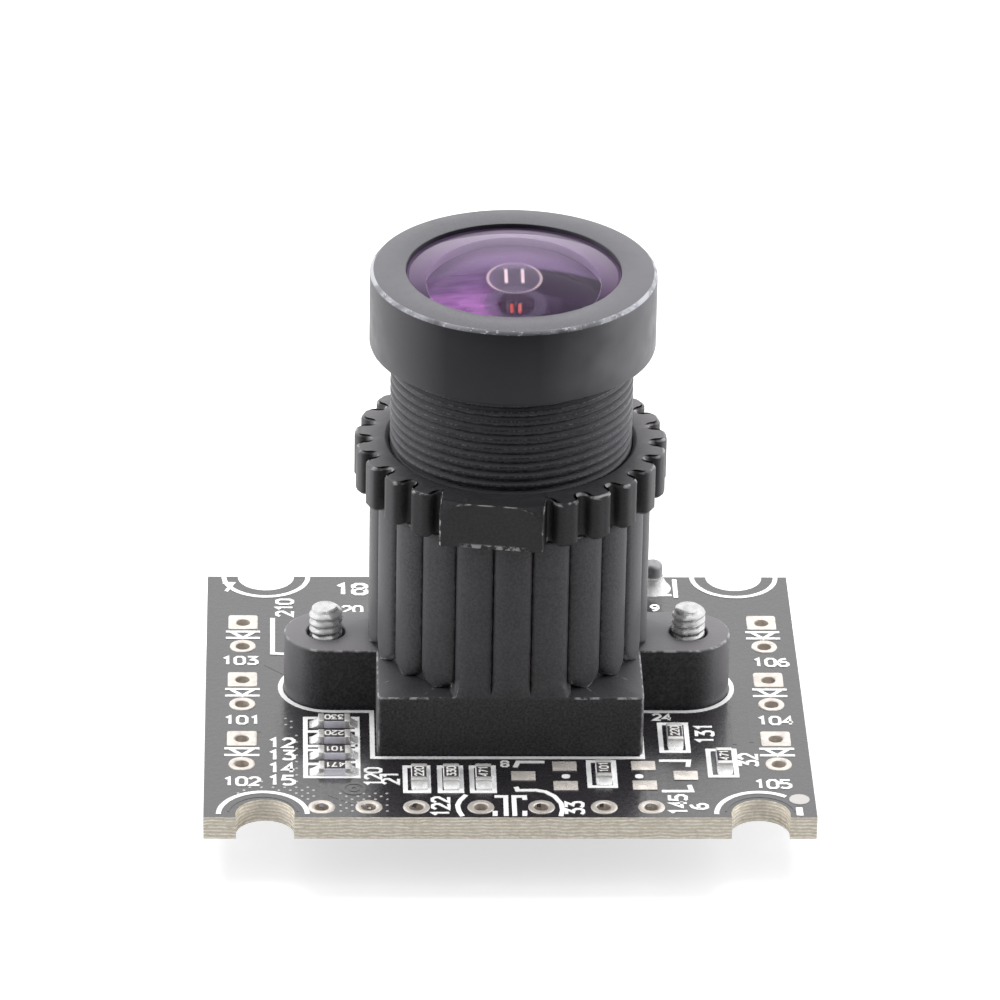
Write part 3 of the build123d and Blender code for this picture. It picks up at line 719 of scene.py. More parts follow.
class WEBCAM_OT_print(bpy.types.Operator):
    """Prints the outlines and numbers on the board, and raises its traces and vias"""
    bl_idname = "webcam.print"
    bl_label = "Print and traces"

    def execute(self, context):
        settings = context.scene.webcam_board
        low, high, width = TOP - 0.01, TOP + settings.ink_height / MM, settings.ink_width / MM
        strips = [ribbon(mount_outline(), width, low, high, True)]
        strips += [ribbon([(x0, y0), (x1, y0), (x1, y1), (x0, y1)], width, low, high, True)
                   for x0, x1, y0, y1 in FRAMES]
        strips += [ribbon(path, width, low, high) for path in BARS]
        strips += [ribbon(arc(x, y, 2.17, start, end, 36), width, low, high) for x, y, start, end in NOTCHES]
        pairs = [(AXIS[0] + side * 13.28, y) for side in (-1, 1) for y in (6.2, 0.13, -5.95)]
        strips += [ribbon(path, 0.2, low, high) for x, y in pairs for path in diode_mark(x, y)]
        strips += [rounded_box((dx, dy, 0.03), 0.012, (x, y, TOP)) for x, y, dx, dy in BLOCKS]
        strips += [number(word, x, y, height, low, high, turn) for word, x, y, height, turn in LABELS]
        strips += [plate(arc(x, -8.46, 0.21, steps=21)[:-1], low, high) for x in (2.83, 6.45)]
        strips = [moved(strip, z=0.0008 * (i % 9)) for i, strip in enumerate(strips)]
        ink = plain_finish("ink", tuple(settings.ink_colour), 0.5, 0.0, 0.12, 0.08, 0.004)
        place("printed_marks", [(joined(strips), ink)], "board")
        copper = [ribbon(path, 0.2, low, TOP + 0.012) for path in TRACES]
        copper += [ribbon(arc(-7.63, -9.69, radius, steps=24)[:-1], 0.16, low, TOP + 0.02, True)
                   for radius in (0.54, 0.2)]
        copper += [ribbon(arc(x, y, 1.72, 9, 171, 36), 0.1, low, TOP + 0.015) for x, y, _, _ in NOTCHES[:2]]
        mask = plain_finish("covered_copper", shade(settings.mask_colour, 1.3), 0.25, 0.0, 0.3, 0.15, 0.004,
                            Specular_IOR_Level=1.0, Coat_Weight=1.0, Coat_Roughness=0.14)
        place("traces", [(joined(copper), mask)], "board")
        dots = [plate(arc(x, y, 0.072, steps=11)[:-1], low, TOP + 0.008) for x, y in via_places()]
        dots.append(plate(arc(14.22, -10.73, 0.5, steps=41)[:-1], low, TOP + 0.02))
        tin = plain_finish("via_tin", (0.45, 0.43, 0.42), 0.35, 0.2)
        place("vias", [(joined(dots), tin)], "board")
        return {"FINISHED"}


# Mount

COLUMNS = 1056


def squarish(half_x, half_y, power=60):
    """Radius at each angle of a rectangle with slightly rounded corners: a superellipse of high power."""
    angle = np.arange(COLUMNS) * TAU / COLUMNS
    return (np.abs(np.cos(angle) / half_x) ** power + np.abs(np.sin(angle) / half_y) ** power) ** (-1 / power)


def rib_radius(settings, share):
    """Radius at each angle of the ribs, each half an oval across its own width.

    The share of its width that a rib takes is 1 on the tower and less at its rounded foot."""
    angle = np.arange(COLUMNS) * TAU / COLUMNS
    across = ((angle - TAU / 4) / TAU * settings.ribs + 0.5) % 1 * 2 - 1
    depth = settings.groove_depth / MM
    rise = np.maximum(0, 1 - np.abs(across / np.maximum(share, 0.01)) ** 2.4) ** (1 / 2.4)
    return 7.0 - depth + depth * rise


def mount_body(settings):
    """Rings about the lens axis, each a radius at every angle: base, ribbed tower, bore, ledge and chamber."""
    edge = settings.edge / MM
    low, top = float(MOUNT_LOW[2]), float(MOUNT_HIGH[2])
    shoulder = low + 3.25
    angle = np.arange(COLUMNS) * TAU / COLUMNS
    base = squarish(6.6, 6.95)
    flush = np.clip((np.abs(np.sin(angle)) - 0.89) / 0.04, 0, 1)
    rows = [(base, low), (base, shoulder - 1.2), (base, shoulder - 0.5), (base, shoulder - edge)]
    rows += [(base - (1 - flush) * edge * (1 - math.cos(a)), shoulder - edge * (1 - math.sin(a)))
             for a in np.linspace(0, TAU / 4, 5)[1:]]
    foot = 0.8
    for a in np.linspace(0, TAU / 4, 9):
        ribs = rib_radius(settings, math.sin(a) + (1 - math.sin(a)) * flush)
        rows.append((ribs + flush * (base - ribs) * math.cos(a) ** 2, shoulder + foot * (1 - math.cos(a))))
    full = rib_radius(settings, np.ones(COLUMNS))
    rows.append((full, top - edge))
    rows += [(full - edge * (1 - math.cos(a)), top - edge * (1 - math.sin(a)))
             for a in np.linspace(0, TAU / 4, 4)[1:]]
    bore = np.full(COLUMNS, 6.04)
    chamber, aperture = squarish(5.0, 5.0), squarish(3.1, 3.1)
    rows += [(bore + 0.1, top), (bore, top - 0.1), (bore, low + 2.9), (aperture, low + 2.9), (aperture, low + 2.3),
             (chamber, low + 2.3), (chamber, low)]
    return spun(np.array([radius for radius, _ in rows]), [z for _, z in rows], COLUMNS, x=AXIS[0], y=AXIS[1])


def mount_ear(settings, x, side):
    """Rings about a screw hole: half a circle outside, straight flanks inside, a rounded upper edge."""
    edge = settings.edge / MM
    low = float(MOUNT_LOW[2])
    high = low + 3.25
    columns = 128
    angle = np.arange(columns) * TAU / columns
    inwards = side * np.cos(angle) < 0
    flank = np.minimum(2.1 / np.maximum(np.abs(np.sin(angle)), 1e-6), 3.2 / np.maximum(np.abs(np.cos(angle)), 1e-6))
    outline = np.where(inwards, flank, 2.1)
    hole = np.full(columns, 0.86)
    rows = [(outline, low), (outline, high - edge)]
    rows += [(outline - edge * (1 - math.cos(a)), high - edge * (1 - math.sin(a)))
             for a in np.linspace(0, TAU / 4, 5)[1:]]
    recess = np.full(columns, 0.97)
    rows += [(recess + 0.05, high), (recess, high - 0.05), (recess, high - 1.6), (hole, high - 1.65), (hole, low)]
    return spun(np.array([radius for radius, _ in rows]), [z for _, z in rows], columns, x=x, y=AXIS[1])


class WEBCAM_OT_mount(bpy.types.Operator):
    """Makes the lens mount: its base, ribbed tower and two ears"""
    bl_idname = "webcam.mount"
    bl_label = "Lens mount"

    def execute(self, context):
        settings = context.scene.webcam_mount
        # The painted highlight on top lies only on the ears, away from the axis; the ledge round the tower stays dark,
        # as painted shade.
        plastic = moulded_finish("mount_plastic", tuple(settings.plastic_colour), tuple(settings.painted_light_colour), 0.42,
                                 tuple(settings.worn_colour), 0.12, ("X", 6.4, 7.2))
        parts = [(mount_body(settings), plastic)]
        parts += [(mount_ear(settings, AXIS[0] + side * 9.1, side), plastic) for side in (-1, 1)]
        place("fluted_mount", parts, "board", ["lens_mount"])
        return {"FINISHED"}


def screw_shape(x, y, low, high):
    """A pan head below, and a shank whose radius follows a helical thread; the recess is a dip of the head."""
    columns = 48
    angle = np.arange(columns) * TAU / columns
    head = 1.0
    rings = np.linspace(0.02, 1, 22)[:, None]
    drop = (1 - rings ** 2.6) ** (1 / 2.6) * head * 0.85
    cross = np.maximum(np.minimum(np.abs(np.cos(angle)), np.abs(np.sin(angle))) * rings * 1.5, 0)
    arm = np.clip((0.2 - cross) / 0.06, 0, 1) * np.clip((0.62 - rings) / 0.1, 0, 1)
    z_head = low + head - 0.05 - drop + arm * 0.5
    face = np.stack([x + rings * 1.5 * np.cos(angle), y + rings * 1.5 * np.sin(angle), z_head], -1)
    z = np.linspace(low + head, high, 90)[:, None]
    phase = (z / 0.4 - angle / TAU) % 1
    taper = np.clip((high - z) / 0.35, 0, 1)
    radius = (0.85 - 0.13 * np.abs(2 * phase - 1) ** 1.5) * (0.62 + 0.38 * taper ** 0.6)
    shank = np.stack([x + radius * np.cos(angle), y + radius * np.sin(angle), z * np.ones_like(angle)], -1)
    seat = np.stack([x + 1.52 * np.cos(angle), y + 1.52 * np.sin(angle),
                     np.full(columns, low + head - 0.02)], -1)[None]
    return grid(np.concatenate([face, seat, shank]))


class WEBCAM_OT_screws(bpy.types.Operator):
    """Makes the two screws that hold the mount from below"""
    bl_idname = "webcam.screws"
    bl_label = "Mount screws"

    def execute(self, context):
        steel = tin_finish("screw_steel", (0.83, 0.83, 0.83), 0.2)
        shapes = [screw_shape(*((low + high)[:2] / 2), low[2], high[2]) for low, high in solids("mount_screws")]
        place("screws", [(joined(shapes), steel)], "board", ["mount_screws"])
        return {"FINISHED"}


# Lens

def barrel_shape(settings):
    """One closed profile about the lens axis whose thread is a function of angle and height.

    The thread's depth is the third power of how far a point lies from the crest of its turn."""
    columns = 192
    angle = np.arange(columns) * TAU / columns
    low, top = float(BARREL_LOW[2]), float(BARREL_HIGH[2])
    neck = top - 3.95
    pitch, depth = settings.thread_pitch / MM, settings.thread_depth / MM
    z = np.concatenate([np.arange(low, 16.4, pitch / 5), np.arange(16.4, neck - 0.25, pitch / 12)])
    phase = (z[:, None] / pitch - angle / TAU) % 1
    fade = np.clip((z[:, None] - low) / 0.4, 0, 1)
    thread = 6.0 - depth * np.abs(2 * phase - 1) ** 3 - 0.3 * (1 - fade)
    rest = [(5.7, neck - 0.2), (5.66, neck - 0.02), (5.7, neck), (6.9, neck), (7.02, neck + 0.06), (7.05, neck + 0.14)]
    rest += [(7.05, top - 0.2), (7.03, top - 0.15), (6.91, top - 0.02), (6.86, top), (5.36, top), (5.3, top - 0.03),
             (5.28, top - 0.08), (5.28, top - 2.05), (3.9, top - 2.05), (3.9, top - 3.35), (4.6, top - 3.35), (4.6, low)]
    radius = np.vstack([thread, np.array([r for r, _ in rest])[:, None] * np.ones(columns)])
    height = np.concatenate([z, [h for _, h in rest]])
    return spun(radius, height, columns, x=AXIS[0], y=AXIS[1])


class WEBCAM_OT_barrel(bpy.types.Operator):
    """Makes the turned barrel with its thread and head"""
    bl_idname = "webcam.barrel"
    bl_label = "Lens barrel"

    def execute(self, context):
        settings = context.scene.webcam_lens
        metal = anodised_finish("lens_metal", tuple(settings.metal_colour), tuple(settings.painted_light_colour), 0.34,
                                tuple(settings.worn_colour))
        place("threaded_barrel", [(barrel_shape(settings), metal)], "lens_barrel", ["lens_barrel"])
        ring = plain_finish("ring_metal", (0.02, 0.02, 0.021), 0.5, 0.3)
        for node in ("spacer_ring", "aperture_stop", "rear_retainer"):
            dress(node, ring)
        return {"FINISHED"}


def front_glass_finish(reflection):
    """Coated glass on the dome; paint on its ground edge, dark in front and pale violet behind as a painted
    reflection; and a hollow that light passes straight through.
    """
    finish = Finish("coated_glass", (0.9, 0.82, 0.96), 0.02, IOR=1.5, Specular_Tint=(*reflection, 1))
    radius, level = radius_from_axis(finish), finish.axis("Z")
    under = finish.span(level, float(GLASS_LOW[2]) + 1.73, float(GLASS_LOW[2]) + 1.77, 1, 0)
    hollow = finish.product(under, finish.span(radius, 3.86, 3.9, 1, 0))
    paint = finish.product(under, finish.span(radius, 3.86, 3.9))
    # Painted reflection: the paint on the ground edge goes from dark in front to pale violet behind.
    behind = finish.span(finish.axis("Y"), float(AXIS[1]) - 1.5, float(AXIS[1]) + 4.5)
    violet = finish.mix(behind, (0.03, 0.01, 0.04), (0.4, 0.29, 0.45))
    finish.colour(finish.mix(paint, (0.9, 0.82, 0.96), violet))
    clear = finish.span(paint, 0, 1, 1, 0)
    finish.link(clear, finish.shader.inputs["Transmission Weight"])
    finish.link(finish.product(clear, 0.36), finish.shader.inputs["Specular IOR Level"])
    finish.link(finish.span(hollow, 0, 1, 1, 0.06), finish.shader.inputs["Alpha"])
    return finish.material


def inner_glass_finish(glow):
    """The second glass as it shows through the first, painted with light and shade: a dark round pupil as painted
    shade, with painted red glints, in a grey ring; a painted violet glow on one side and a darker cloud on the
    other; a pale painted reflection at the back; and behind them a bright ring of small marks with two strips,
    the painted reflection of a ring lamp."""
    finish = Finish("inner_glass", (0.1, 0.08, 0.12), 0.3, Specular_IOR_Level=0.0)
    x = finish.maths("SUBTRACT", finish.axis("X"), float(AXIS[0]) + 0.08)
    y = finish.maths("SUBTRACT", finish.axis("Y"), float(AXIS[1]))

    def distance(middle):
        away = finish.maths("SUBTRACT", y, middle)
        return away, finish.maths("SQRT", finish.maths("ADD", finish.product(x, x), finish.product(away, away)))

    # Painted reflection of a ring lamp: a ring of small marks, stronger at the sides, two strips, and a lighter disc
    # inside.
    behind, round_marks = distance(1.4)
    marks = finish.span(finish.maths("SINE", finish.maths("MULTIPLY", finish.maths("ARCTAN2", behind, x), 46.0)),
                        -0.4, 0.4, 0.1, 1)
    sides = finish.span(finish.maths("ABSOLUTE", x), 0.4, 1.0, 0.35, 1)
    ring = finish.product(finish.band(round_marks, 1.03, 1.14), marks, sides)
    strips = finish.product(finish.band(finish.maths("ABSOLUTE", x), 0.27, 0.4), finish.band(behind, -0.35, 0.65, 0.08))
    inside = finish.span(round_marks, 1.02, 1.07, 0.3, 0)
    # Painted shade: a dark pupil in a grey ring, with painted red glints in front of it.
    ahead, from_pupil = distance(-0.5)
    pupil = finish.span(from_pupil, 0.72, 0.78, 1, 0)
    glint = finish.product(finish.band(finish.maths("ABSOLUTE", x), 0.1, 0.24), finish.band(ahead, -0.6, 0.05), pupil)
    grey = finish.band(from_pupil, 0.86, 1.3, 0.05)
    # Painted glow: violet streaks on the left and a darker cloud on the right; a pale violet painted reflection at the
    # back.
    cloud = finish.noise(0.9, 4, (2, 1, 1))
    streaks = finish.noise(0.5, 5, (3, 0.7, 1))
    _, far = distance(-9.8)
    lit = finish.span(far, 11.8, 12.0)
    left = finish.span(x, -0.5, -1.5)
    back = finish.mix(finish.product(left, finish.span(streaks, 0.3, 0.7, 0.5, 1)), (0.006, 0.004, 0.01), (0.2, 0.1, 0.25))
    bright = finish.product(left, finish.span(y, 1.0, -1.4), finish.span(streaks, 0.35, 0.65, 0.2, 0.8))
    back = finish.mix(bright, back, glow)
    right = finish.product(finish.span(x, 0.8, 2.8), finish.span(cloud, 0.4, 0.75))
    back = finish.mix(finish.product(right, 0.4), back, (0.04, 0.015, 0.06))
    back = finish.mix(lit, back, finish.mix(finish.span(y, 2.2, 4.0), (0.17, 0.11, 0.21), (0.4, 0.28, 0.46)))
    back = finish.mix(finish.product(grey, 0.5), back, (0.1, 0.09, 0.13))
    back = finish.mix(inside, back, (0.3, 0.27, 0.33))
    back = finish.mix(pupil, back, (0.006, 0.0, 0.002))
    back = finish.mix(glint, back, (0.5, 0.07, 0.03))
    finish.colour(finish.mix(finish.maths("MAXIMUM", ring, strips), back, (0.95, 0.78, 0.74)))
    return finish.material


def front_glass_shape():
    """A dome above, a straight edge and a hollow below, turned about the lens axis."""
    ball = 13.8
    bottom, apex = float(GLASS_LOW[2]), float(GLASS_HIGH[2])
    rim = float(GLASS_HIGH[0] - GLASS_LOW[0]) / 2
    r = np.linspace(0.03, rim - 0.05, 40)
    dome = apex - ball + np.sqrt(ball ** 2 - r ** 2)
    edge_top = apex - ball + math.sqrt(ball ** 2 - rim ** 2)
    hollow_r = np.linspace(3.9, 0.03, 36)
    hollow = bottom + np.sqrt(81 - hollow_r ** 2) - math.sqrt(81 - 3.9 ** 2)
    radius = np.concatenate([r, [rim, rim], hollow_r])
    height = np.concatenate([dome, [edge_top - 0.02, bottom], hollow])
    return spun(radius, height, 96, close=False, x=AXIS[0], y=AXIS[1])


class WEBCAM_OT_glass(bpy.types.Operator):
    """Makes the front glass and gives the glass behind it its finish"""
    bl_idname = "webcam.glass"
    bl_label = "Lens glass"

    def execute(self, context):
        settings = context.scene.webcam_lens
        glass = front_glass_finish(tuple(settings.coating_colour))
        place("front_glass", [(front_glass_shape(), glass)], "lens_stack", ["front_element"])
        dress("second_element", inner_glass_finish(tuple(settings.glow_colour)))
        dress("rear_element", plain_finish("rear_glass", (0.05, 0.03, 0.07), 0.04, Coat_Weight=1.0))
        return {"FINISHED"}


# Nut

def nut_feature(half, reach, corner, root, body=6.98, steps=5, along=3):
    """One lobe or tab from valley to valley: root fillet, flank, rounded corner and straight tip, mirrored."""
    centre = math.sqrt((body + root) ** 2 - (half + root) ** 2)
    start = math.atan2(centre, half + root)
    a = np.linspace(-start, 0, steps)
    fillet = np.stack([root * np.cos(a) - half - root, centre + root * np.sin(a)], -1)
    b = np.linspace(math.pi, math.pi / 2, steps)
    turn = np.stack([-half + corner + corner * np.cos(b), reach - corner + corner * np.sin(b)], -1)
    first = np.vstack([fillet, turn])
    tip = np.linspace(corner - half, half - corner, along + 2)[1:-1, None]
    return np.vstack([first, np.hstack([tip, np.full((along, 1), reach)]), first[::-1] * (-1, 1)])


def nut_outline():
    """Twenty two lobes and a wide tab in place of three more, each turned to its own place round the axis.

    With it goes the radius of the upper edge at each point, which is smaller on the tab."""
    pieces, edges = [], []
    for i in range(25):
        if min(i, 25 - i) > 1:
            piece = nut_feature(0.62, 7.75, 0.46, 0.26, steps=7)
        elif i == 0:
            piece = nut_feature(2.55, 7.62, 0.1, 0.14, along=24)
        else:
            continue
        a = math.radians(180 - i * 14.4 - 8.7)
        c, s = math.cos(a), math.sin(a)
        pieces.append(piece @ np.array([[c, s], [-s, c]]))
        edges.append(np.full(len(piece), 0.16 if i else 0.05))
    return np.vstack(pieces)[::-1], np.concatenate(edges)[::-1]


def inset(outline, amount):
    """Each point of a closed outline moved inwards along the line across its neighbours."""
    along = np.roll(outline, -1, 0) - np.roll(outline, 1, 0)
    along /= np.linalg.norm(along, axis=1, keepdims=True)
    return outline + np.reshape(amount, (-1, 1)) * np.stack([-along[:, 1], along[:, 0]], -1)


def nut_shape():
    """A closed section carried round the outline; its upper edge keeps under a cone about the axis."""
    outline, edge = nut_outline()
    angle = np.arctan2(outline[:, 1], outline[:, 0])
    low, top = float(NUT_LOW[2]), float(NUT_HIGH[2])
    slope_start, steep_start = 7.69, 7.83
    circle = np.stack([np.cos(angle), np.sin(angle)], -1)

    def row(points, z):
        return np.hstack([points + AXIS, np.reshape(z * np.ones(len(points)), (-1, 1))])

    def lid(points):
        radius = np.linalg.norm(points, axis=1)
        return top - np.maximum(0, radius - slope_start) - 2.2 * np.maximum(0, radius - steep_start)

    rows = [row(circle * 6.1, low), row(inset(outline, edge), low), row(outline, low + edge)]
    for a in np.linspace(0, TAU / 4, 7):
        points = inset(outline, edge * (1 - math.cos(a)))
        rows.append(row(points, lid(points) - edge * (1 - math.sin(a))))
    inner = inset(outline, edge)
    reach = np.minimum(np.linalg.norm(inner, axis=1) - 0.02, slope_start)
    rows.append(row(circle * reach[:, None], top))
    rows += [row(circle * 6.27, top), row(circle * 6.2, top - 0.04), row(circle * 6.05, top - 0.22),
             row(circle * 6.05, low + 0.05)]
    return grid(np.stack(rows), close_rows=True)


class WEBCAM_OT_nut(bpy.types.Operator):
    """Makes the lobed lock nut with its tab"""
    bl_idname = "webcam.nut"
    bl_label = "Lock nut"

    def execute(self, context):
        settings = context.scene.webcam_mount
        tab = (AXIS[0] - 1.0, AXIS[1] - 7.6, float(NUT_LOW[2]) + 0.02), (1.75, 0.6, 0.26)
        # The painted highlight on the nut's top fades out towards the front, which stays dark as painted shade under
        # the head.
        plastic = moulded_finish("nut_plastic", shade(settings.plastic_colour, 0.5), tuple(settings.painted_light_colour), 0.5,
                                 tuple(settings.worn_colour), 0.14, ("Y", -6.5, 0.5), tab)
        place("lobed_nut", [(nut_shape(), plastic)], "lock_nut", ["lock_nut"])
        return {"FINISHED"}


# Chips, solder and socket

def seat(shape, x, y, turn, under):
    """A shape that stands on zero, turned and put on the board's top or hung from its underside."""
    shape = moved(shape, turn=turn)
    if under:
        return moved(flipped(shape, BOTTOM), x, y)
    return moved(shape, x, y, TOP)


def end_cap(length, width, height, side):
    """The tinned end of a chip, a box with well rounded edges."""
    return rounded_box((length, width, height), 0.05, (side * (0.8 - length / 2), 0, height / 2), 4)


def fillet(side):
    """Solder that falls from a chip's end to the board: the height falls as the square of the way out."""
    out = np.linspace(0, 1, 10)[:, None]
    across = np.linspace(-1, 1, 11)
    half = 0.4 * (1 - 0.15 * out ** 2)
    z = 0.015 + 0.34 * (1 - out) ** 2.2 * (1 - 0.3 * np.abs(across) ** 4)
    x = side * (0.78 + 0.46 * out) * np.ones_like(across)
    upper = np.stack([x, half * across, z], -1)
    corner = np.stack([x[:, :2], half * (1, -1), np.zeros((10, 2))], -1)
    return grid(np.concatenate([upper, corner], 1))


def chip_places(node):
    """Middle, turn and side of the board for each chip of a CAD node."""
    for low, high in solids(node):
        size = high - low
        x, y = (low + high)[:2] / 2
        yield x, y, 0 if size[0] > size[1] else 90, high[2] < BOTTOM + 0.1


def cone(x, y):
    """Solder round a post: the radius falls as the square of the height."""
    t = np.linspace(0, 1, 10)
    radius = 0.56 + 0.4 * (1 - t) ** 2
    return spun(np.concatenate([radius, [0.5, 0.5]]), TOP + np.concatenate([t * 0.78, [0.78, 0]]), 48, x=x, y=y)


def post(low, high):
    """A bracket's plate and foot under the board, and a round pin with a domed tip that comes up through it."""
    side = 1 if (low + high)[0] / 2 > 2.5 else -1
    y = float((low + high)[1] / 2)
    x = 2.5 + side * 5.5
    inner = low[0] if side > 0 else high[0]
    a = np.linspace(0, TAU / 4, 8)[:-1]
    radius = np.concatenate([[0.49, 0.49], 0.49 * np.cos(a[1:]), [0.03]])
    height = np.concatenate([[BOTTOM, high[2] - 0.3], high[2] - 0.3 + 0.3 * np.sin(a[1:]), [high[2]]])
    depth = high[1] - low[1]
    wall = rounded_box((0.3, depth, BOTTOM - low[2]), 0.06, (inner + side * 0.15, y, (BOTTOM + low[2]) / 2))
    reach = abs(x + side * 0.5 - inner)
    foot = rounded_box((reach, depth, 0.3), 0.06, (inner + side * reach / 2, y, BOTTOM - 0.15))
    return joined([spun(radius, height, 40, close=False, x=x, y=y), wall, foot])


class WEBCAM_OT_chips(bpy.types.Operator):
    """Makes the chip resistors and capacitors with their ends and numbers"""
    bl_idname = "webcam.chips"
    bl_label = "Chip parts"

    def execute(self, context):
        ceramic = plain_finish("chip_ceramic", (0.8, 0.78, 0.86), 0.45)
        coat = plain_finish("overcoat", (0.045, 0.04, 0.04), 0.5, 0.0, 0.2, 0.2, 0.006)
        white = plain_finish("chip_number", (0.7, 0.69, 0.68), 0.5)
        tin = tin_finish("end_tin", (0.86, 0.85, 0.83), 0.25, 0.6)
        body, caps, coats, words = [], [], [], []
        for i, (x, y, turn, under) in enumerate(chip_places("chip_resistors")):
            turn += 180 if turn == 0 else 0
            body.append(seat(rounded_box((1.52, 0.77, 0.4), 0.03, (0, 0, 0.205)), x, y, turn, under))
            caps += [seat(end_cap(0.3, 0.8, 0.44, side), x, y, turn, under) for side in (-1, 1)]
            coats.append(seat(rounded_box((1.0, 0.72, 0.05), 0.02, (0, 0, 0.415)), x, y, turn, under))
            word = ("101", "220", "330", "471")[i % 4]
            words.append(seat(number(word, 0, 0, 0.4, 0.436, 0.447), x, y, turn, under))
        place("resistors", [(joined(body), ceramic), (joined(coats), coat), (joined(words), white),
                            (joined(caps), tin)], "board", ["chip_resistors"])
        brown = plain_finish("capacitor_ceramic", (0.42, 0.3, 0.19), 0.4)
        body, caps = [], []
        for x, y, turn, under in chip_places("chip_capacitors"):
            body.append(seat(rounded_box((1.52, 0.76, 0.43), 0.04, (0, 0, 0.22)), x, y, turn, under))
            caps += [seat(end_cap(0.4, 0.8, 0.45, side), x, y, turn, under) for side in (-1, 1)]
        place("capacitors", [(joined(body), brown), (joined(caps), tin)], "board",
              ["chip_capacitors"])
        return {"FINISHED"}


class WEBCAM_OT_solder(bpy.types.Operator):
    """Makes the solder at the chips and round the socket's posts, and the posts themselves"""
    bl_idname = "webcam.solder"
    bl_label = "Solder and posts"

    def execute(self, context):
        solder = tin_finish("solder", (0.93, 0.93, 0.93), 0.2, 0.55)
        joints = [seat(fillet(side), x, y, turn, under) for node in ("chip_resistors", "chip_capacitors")
                  for x, y, turn, under in chip_places(node) for side in (-1, 1)]
        joints += [cone(*((low + high)[:2] / 2)) for low, high in solids("solder_joints")
                   if (high - low)[:2].min() > 1.5]
        place("solder_fillets", [(joined(joints), solder)], "board", ["solder_joints"])
        pin = tin_finish("post_metal", (0.42, 0.42, 0.43), 0.3)
        posts = [post(low, high) for low, high in solids("socket_posts")]
        place("posts", [(joined(posts), pin)], "board", ["socket_posts"])
        return {"FINISHED"}


class WEBCAM_OT_underside(bpy.types.Operator):
    """Makes the chips under the board, and gives the socket and the parts in the mount their finishes"""
    bl_idname = "webcam.underside"
    bl_label = "Underside"

    def execute(self, context):
        black = plain_finish("chip_plastic", (0.03, 0.03, 0.032), 0.5, 0.0, 0.15, 0.15, 0.012)
        mark = plain_finish("chip_mark", (0.35, 0.35, 0.35), 0.5)
        words = {"controller_chip": "1024", "memory_chip": "256", "regulator_chips": "33"}
        for node, word in words.items():
            bodies, marks = [], []
            for low, high in solids(node):
                low = low + (0, 0, 0.012)
                size, middle = high - low, (low + high) / 2
                bodies.append(rounded_box(size, 0.07, middle, 4))
                tall = min(size[0] / (len(word) + 1), size[1] * 0.4)
                shape = number(word, 0, 0, tall, -0.004, 0.008)
                marks.append(moved(flipped(shape, low[2]), middle[0], middle[1]))
                dot = plate(arc(0, 0, min(size[:2]) * 0.07, steps=25)[:-1], -0.004, 0.008)
                marks.append(moved(flipped(dot, low[2]), low[0] + size[0] * 0.14, high[1] - size[1] * 0.14))
            place(node + "_body", [(joined(bodies), black), (joined(marks), mark)], "board", [node])
        finishes = {
            "lead_metal": tin_finish("lead_metal", (0.78, 0.78, 0.76), 0.25),
            "ceramic": plain_finish("sensor_ceramic", (0.5, 0.48, 0.45), 0.55),
            "ferrite": plain_finish("inductor_ferrite", (0.08, 0.08, 0.085), 0.6),
            "socket": plain_finish("socket_plastic", (0.8, 0.77, 0.68), 0.4),
            "can": tin_finish("crystal_can", (0.72, 0.71, 0.68), 0.3),
            "contact": tin_finish("contact_metal", (0.8, 0.7, 0.45), 0.22),
            "silicon": plain_finish("silicon", (0.05, 0.06, 0.07), 0.12),
            "filter": plain_finish("filter_glass", (0.4, 0.6, 0.55), 0.05),
        }
        wears = {"lead_metal": ("controller_leads", "memory_leads", "regulator_leads"), "ceramic": ("image_sensor",),
                 "ferrite": ("power_inductor",), "socket": ("socket_housing",), "can": ("crystal",),
                 "contact": ("contact_pins",), "silicon": ("sensor_cover_glass",), "filter": ("ir_cut_filter",)}
        for name, nodes in wears.items():
            for node in nodes:
                dress(node, finishes[name])
        return {"FINISHED"}


# Stage

def look_along(azimuth, elevation, roll):
    """Columns of a camera's turn: right, up and backwards, for a camera seen from the aim at these angles."""
    az, el, ro = (math.radians(v) for v in (azimuth, elevation, roll))
    back = Vector((math.sin(az) * math.cos(el), -math.cos(az) * math.cos(el), math.sin(el)))
    right = Vector((-back.y, back.x, 0)).normalized()
    up = back.cross(right)
    across = math.cos(ro) * right + math.sin(ro) * up
    over = -math.sin(ro) * right + math.cos(ro) * up
    return back, Matrix((across, over, back)).transposed()


def soft_box(name, place_mm, aim_mm, size_mm, power):
    """A rectangular lamp that faces a point."""
    lamp = bpy.data.lights.new(name, "AREA")
    lamp.shape = "RECTANGLE"
    lamp.size, lamp.size_y = size_mm[0] * MM, size_mm[1] * MM
    lamp.energy = power
    holder = bpy.data.objects.new(name, lamp)
    bpy.context.scene.collection.objects.link(holder)
    holder.location = Vector(place_mm) * MM
    holder.rotation_euler = (Vector(place_mm) - Vector(aim_mm)).to_track_quat("Z", "Y").to_euler()
    return holder


def floor_finish(colour):
    """A pale floor that takes part of the light as diffuse and looks white where the camera sees it."""
    material = bpy.data.materials.new("floor")
    material.use_nodes = True
    tree = material.node_tree
    shader = tree.nodes["Principled BSDF"]
    shader.inputs["Base Color"].default_value = (*colour, 1)
    shader.inputs["Roughness"].default_value = 0.9
    shader.inputs["Specular IOR Level"].default_value = 0.1
    shader.inputs["Emission Color"].default_value = (1, 1, 1, 1)
    path = tree.nodes.new("ShaderNodeLightPath")
    level = tree.nodes.new("ShaderNodeMath")
    level.operation = "MULTIPLY"
    level.inputs[1].default_value = 0.62
    tree.links.new(path.outputs["Is Camera Ray"], level.inputs[0])
    tree.links.new(level.outputs[0], shader.inputs["Emission Strength"])
    return material


